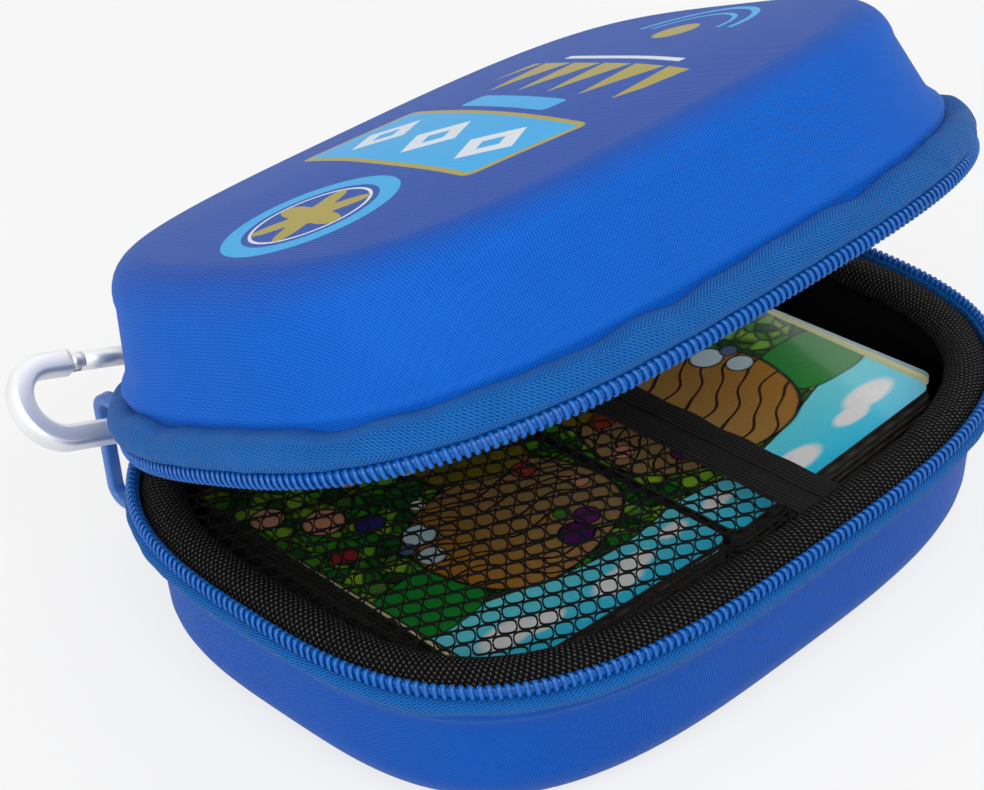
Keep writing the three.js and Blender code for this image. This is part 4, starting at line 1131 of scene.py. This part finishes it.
def polished_finish():
    metal = Finish("polished_aluminium", (0.9, 0.9, 0.91), 0.42, Metallic=0.8)
    at = metal.place()
    fine = metal.noise(at, 0.7, 4.0, 0.7)
    broad = metal.noise(at, 7.0, 2.0)
    metal.set("Base Color", metal.mix(broad, (0.86, 0.865, 0.87), (0.95, 0.95, 0.955)))
    metal.set("Roughness", fine * 0.12 + broad * 0.08 + 0.34)
    metal.raise_by(fine, 0.00002, 0.35)
    return metal.material


def in_hook(piece):
    """Moves a mesh drawn in the hook's own u, y and w to its place on the case."""
    move_points(piece, hook_place)
    return tidy(piece)


def join(name, pieces):
    """One mesh from several closed ones."""
    work = bmesh.new()
    for piece in pieces:
        work.from_mesh(piece.data)
    mesh = bpy.data.meshes.new(name)
    work.to_mesh(mesh)
    work.free()
    mesh.polygons.foreach_set("use_smooth", [True] * len(mesh.polygons))
    whole = put_in_scene(name, mesh)
    for piece in pieces:
        bpy.data.objects.remove(piece)
    return whole


def rod(name, start, end, radius, sides=24, ends=0.0):
    """A round bar from one point to another, with its rims rounded by a part of its radius."""
    start, end = np.array(start, float), np.array(end, float)
    length = np.linalg.norm(end - start)
    along = (end - start) / length
    side = np.cross(along, (0, 0, 1) if abs(along[2]) < 0.9 else (0, 1, 0))
    side /= np.linalg.norm(side)
    other = np.cross(along, side)
    rim = radius * ends
    profile = [(0, radius)]
    if ends:
        profile = [(rim * (1 - math.cos(a)), radius - rim * (1 - math.sin(a)))
                   for a in np.linspace(0, math.pi / 2, 5)]
    profile += [(length - a, r) for a, r in reversed(profile)]
    angles = 2 * np.pi * np.arange(sides) / sides
    spokes = np.cos(angles)[:, None] * side + np.sin(angles)[:, None] * other
    rows = [start + along * a + spokes * r for a, r in profile]
    uvs = [along_cloth(angles * radius, a) for a, r in profile]
    return tidy(loft(name, rows, uvs, centres=True))


def hook_line():
    """The middle of the bar, from the nose round the front, along the spine and round the back."""
    middle = (GATE_W + SPINE_W) / 2

    def bend(centre, start, end):
        return [(centre + BEND * math.cos(a), 0, middle + BEND * math.sin(a))
                for a in np.linspace(start, end, 28)[1:]]

    nose = [(u, 0, GATE_W) for u in np.linspace(NOSE_U, FRONT_U, 8)]
    spine = [(u, 0, SPINE_W) for u in np.linspace(FRONT_U, REAR_U, 16)[1:]]
    front, rear = bend(FRONT_U, math.pi / 2, -math.pi / 2), bend(REAR_U, -math.pi / 2, -1.5 * math.pi)
    return [*nose, *front, *spine, *rear]


bright_metal = polished_finish()


def along_gate(name, start, end, section):
    """A straight bar in line with the gate, with its section's second axis across the hook."""
    return sweep(name, [(u, 0, GATE_W) for u in np.linspace(start, end, 3)], [(0, 1, 0)] * 3, section)


middle_line = hook_line()
BAR_SECTION, TONGUE_SECTION = soft_oblong(0.0025, 0.0023, 0.0012), soft_oblong(0.0016, 0.0009, 0.0003, 3)
bar = sweep("hook_bar", middle_line, [(0, 1, 0)] * len(middle_line), BAR_SECTION)
tongues = [along_gate("tongue", start, end, TONGUE_SECTION)
           for start, end in ((NOSE_U - 0.0026, NOSE_U + 0.001), (REAR_U - 0.002, REAR_U + 0.0046))]
hook_bar = in_hook(join("snap_hook_bar", [bar, *tongues]))
hook_bar.data.materials.append(bright_metal)
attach(hook_bar, "hook")
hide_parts("hook_body")

PIVOT_U, SHANK_END, HEAD_END = REAR_U + 0.0023, 0.0022, 0.0027
SHANK, HEAD = (0.0008, 20), (0.0013, 24, 0.3)
rivet = in_hook(join("gate_pin", [
    rod("pin_part", (PIVOT_U, start, GATE_W), (PIVOT_U, end, GATE_W), *shape)
    for start, end, shape in ((-SHANK_END, SHANK_END, SHANK), (SHANK_END, HEAD_END, HEAD),
                              (-HEAD_END, -SHANK_END, HEAD))]))
rivet.data.materials.append(bright_metal)
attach(rivet, "hook")
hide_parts("gate_rivet")


# The gate is a round aluminium bar, slotted at both ends, that closes the hook by a small steel
# spring in its bore.
GATE_START, GATE_END, GATE_RADIUS, SLOT_HALF = REAR_U + 0.0009, NOSE_U - 0.0003, 0.0021, 0.0012
REAR_SLOT, NOSE_SLOT, CHEEK_LAP = REAR_U + 0.0055, GATE_END - 0.0032, 0.00001


def slotted_gate():
    """The solid middle of the gate with a pair of cheeks at each end."""
    half_arc = math.acos(SLOT_HALF / GATE_RADIUS)
    cheeks = []
    for low, high in ((GATE_START, REAR_SLOT), (NOSE_SLOT, GATE_END)):
        for sign in (-1, 1):
            arc = [(GATE_RADIUS * math.sin(t), sign * GATE_RADIUS * math.cos(t))
                   for t in np.linspace(-half_arc, half_arc, 12)]
            cheeks.append(along_gate("cheek", low, high, arc))
    start, end = (REAR_SLOT - CHEEK_LAP, 0, GATE_W), (NOSE_SLOT + CHEEK_LAP, 0, GATE_W)
    return join("gate_bar", [rod("middle", start, end, GATE_RADIUS, 28), *cheeks])


gate = in_hook(slotted_gate())
gate.data.materials.append(bright_metal)
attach(gate, "gate")
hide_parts("hook_gate")

TURNS, WIRE_RADIUS, SPRING_RADIUS, SPRING_START, SPRING_LENGTH = 7, 0.00012, 0.00062, REAR_U + 0.0049, 0.0046
share = np.linspace(0, 1, 140)
turned = 2 * np.pi * TURNS * share
spring_path = np.column_stack([SPRING_START + SPRING_LENGTH * share, SPRING_RADIUS * np.cos(turned),
                               GATE_W + SPRING_RADIUS * np.sin(turned)])
wire = [(WIRE_RADIUS * math.cos(a), WIRE_RADIUS * math.sin(a)) for a in np.linspace(0, 2 * math.pi, 7)[:-1]]
spring = in_hook(sweep("gate_spring_wire", spring_path, [(1, 0, 0)] * len(share), wire))
steel = Finish("spring_steel_wire", (0.5, 0.5, 0.52), 0.35, Metallic=1.0)
steel.set("Roughness", steel.noise(steel.place(), 0.5) * 0.2 + 0.25)
spring.data.materials.append(steel.material)
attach(spring, "gate")
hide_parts("gate_spring")


# The zip slider is cast metal lacquered blue, parked at the end of the chain beside the hinge. Its
# pull is a moulded tongue with grip ribs that hangs from the slider's bail.
SLIDER_X = 0.04335
slider_at = rim_point(np.array([rim_angle(SLIDER_X)]))[0]
SLIDER_TURN = math.atan2(-slider_at[2], slider_at[3])
SLIDER_LENGTH, SLIDER_HEIGHT, PLATE = 0.0095, 0.0072, 0.0011
BAIL_Y, BAIL_X, BAIL_BEND, BAIL_HALF = 0.00405, 0.0027, 0.0008, 0.0006


def at_slider(piece):
    """Moves a mesh drawn with x along the chain, y outwards and z up to the slider's place."""
    place = Matrix.Translation((slider_at[0], slider_at[1], COIL_Z))
    piece.data.transform(place @ Matrix.Rotation(SLIDER_TURN, 4, "Z"))
    return tidy(piece)


def cast_plate(name, centre, size, edge):
    """A block with rounded edges."""
    work = bmesh.new()
    bmesh.ops.create_cube(work, size=1)
    bmesh.ops.scale(work, vec=size, verts=work.verts)
    bmesh.ops.bevel(work, geom=work.edges[:], offset=edge, segments=3, affect="EDGES", profile=0.5)
    bmesh.ops.translate(work, vec=centre, verts=work.verts)
    mesh = bpy.data.meshes.new(name)
    work.to_mesh(mesh)
    work.free()
    return put_in_scene(name, mesh)


bail = [(-BAIL_X, 0.0018, 0), (-BAIL_X, 0.0030, 0)]
bail += [(-BAIL_X + BAIL_BEND * (1 - math.cos(a)), BAIL_Y - BAIL_BEND * (1 - math.sin(a)), 0)
         for a in np.linspace(0, math.pi / 2, 6)]
bail += [(-x, y, z) for x, y, z in reversed(bail)]
slider_body = at_slider(join("slider_casting", [
    cast_plate("outer", (0, 0.0017, 0), (SLIDER_LENGTH, PLATE, SLIDER_HEIGHT), 0.0005),
    cast_plate("post", (-SLIDER_LENGTH / 4, 0.00085, -SLIDER_HEIGHT / 4),
               (SLIDER_LENGTH / 3, 0.0019, SLIDER_HEIGHT / 3), 0.0003),
    cast_plate("inner", (0, -0.00025, -SLIDER_HEIGHT / 4), (0.0086, PLATE, SLIDER_HEIGHT / 2), 0.0004),
    sweep("bail", bail, [(0, 0, 1)] * len(bail), soft_oblong(BAIL_HALF, BAIL_HALF, 0.00045, 3))]))
lacquer = gloss_finish("blue_lacquer", (0.004, 0.08, 0.36), (0.01, 0.13, 0.5), 0.25)
slider_body.data.materials.append(lacquer)
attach(slider_body, "slider")
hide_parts("zip_slider")


PULL_LENGTH, PULL_HALF, PULL_THICK, BARREL_RADIUS = 0.021, 0.0035, 0.0008, 0.0015
RIB_STEP, RIB_SIZE, RIB_EDGE = 0.0013, (0.0046, 0.0005, 0.0006), 0.00018
TONGUE_WIDTHS = ((-0.0008, 0.0018), (-0.003, 0.0018), (-0.0045, 0.0021), (-0.008, 0.0026), (-0.0125, 0.0031))
BARREL_LINE = ((-0.0018, 0.0007), (-0.0018, 0.0013), (-0.0016, BARREL_RADIUS),
               (0.0016, BARREL_RADIUS), (0.0018, 0.0013), (0.0018, 0.0007))


def pull_tongue():
    """The pull hangs down from its barrel and widens to a rounded end with grip ribs."""
    rounded_end = [(PULL_HALF * (1 - math.sin(a)) - PULL_LENGTH, PULL_HALF * math.cos(a))
                   for a in np.linspace(0, 1.5, 12)]
    rows, uvs = [], []
    for z, wide in [*TONGUE_WIDTHS, *rounded_end]:
        ring = soft_oblong(max(wide, 0.0004), PULL_THICK, min(0.0006, wide * 0.8), 3)
        rows.append([(a, b, z) for a, b in ring])
        uvs.append([(a, z) for a, b in ring])
    tongue = tidy(loft("tongue", rows, uvs, centres=True))
    first_rib = TONGUE_WIDTHS[-1][0]
    ribs = [cast_plate("rib", (0, side * PULL_THICK, first_rib - RIB_STEP * k), RIB_SIZE, RIB_EDGE)
            for k in range(5) for side in (-1, 1)]
    angles = 2 * np.pi * np.arange(24) / 24
    barrel = [np.column_stack([np.full(24, x), np.cos(angles) * radius, np.sin(angles) * radius])
              for x, radius in BARREL_LINE]
    barrel_uv = [along_cloth(angles * BARREL_RADIUS, 0.001 * k) for k in range(len(barrel))]
    whole = join("zip_pull", [tongue, tidy(loft("barrel", barrel, barrel_uv, wrap_rows=True)), *ribs])
    whole.data.transform(Matrix.Translation((0, BAIL_Y, 0)))
    return at_slider(whole)


pull = pull_tongue()
pull.data.materials.append(gloss_finish("blue_rubber", (0.003, 0.07, 0.36), (0.006, 0.11, 0.5), 0.5))
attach(pull, "pull")
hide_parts("slider_pull")


# The case stands on a plain pale floor under soft, even studio light: a large lamp from the front
# left, weaker ones from the left and the right, and a white room.
def floor():
    """The floor shines a little by itself where the lens sees it, so that it stays pale."""
    mesh = bpy.data.meshes.new("floor")
    mesh.from_pydata([(-4, -4, 0), (4, -4, 0), (4, 4, 0), (-4, 4, 0)], [], [(0, 1, 2, 3)])
    pale = Finish("pale_floor", (0.82, 0.82, 0.82), 0.9, Specular_IOR_Level=0.1)
    glow = pale.node("ShaderNodeEmission", {0: (1, 1, 1), 1: 1.0})
    rays = ("Is Camera Ray", "Is Glossy Ray")
    camera_ray, glossy_ray = (pale.node("ShaderNodeLightPath", out=ray) for ray in rays)
    seen = camera_ray * 0.74 + glossy_ray * 0.3
    blend = pale.node("ShaderNodeMixShader", {0: seen, 1: Wire(pale.tree, pale.shader.outputs[0]), 2: glow})
    pale.tree.links.new(blend.socket, pale.tree.nodes["Material Output"].inputs[0])
    mesh.materials.append(pale.material)
    return put_in_scene("floor", mesh)


floor()
room = bpy.data.worlds.new("white_room")
bpy.context.scene.world = room
room.use_nodes = True
backdrop = room.node_tree.nodes["Background"]
path = room.node_tree.nodes.new("ShaderNodeLightPath")
seen = Wire(room.node_tree, path.outputs["Is Camera Ray"])
for ray in ("Is Glossy Ray", "Is Transmission Ray"):
    seen = seen.high(Wire(room.node_tree, path.outputs[ray]))
strength = seen * 0.45 + 0.55
room.node_tree.links.new(strength.socket, backdrop.inputs["Strength"])
backdrop.inputs["Color"].default_value = (1, 1, 1, 1)
lamps = (("front_lamp", (-0.5, -1.0, 1.1), 0.9, 9.5), ("left_lamp", (-1.3, -0.1, 0.55), 0.5, 6.0),
         ("right_lamp", (1.1, -0.5, 0.8), 0.9, 3.5))
for name, place, size, watts in lamps:
    lamp = bpy.data.lights.new(name, "AREA")
    lamp.size, lamp.energy = size, watts
    aim = (Vector((0, 0, 0.04)) - Vector(place)).to_track_quat("-Z", "Y")
    put_in_scene(name, lamp).matrix_world = Matrix.Translation(place) @ aim.to_matrix().to_4x4()
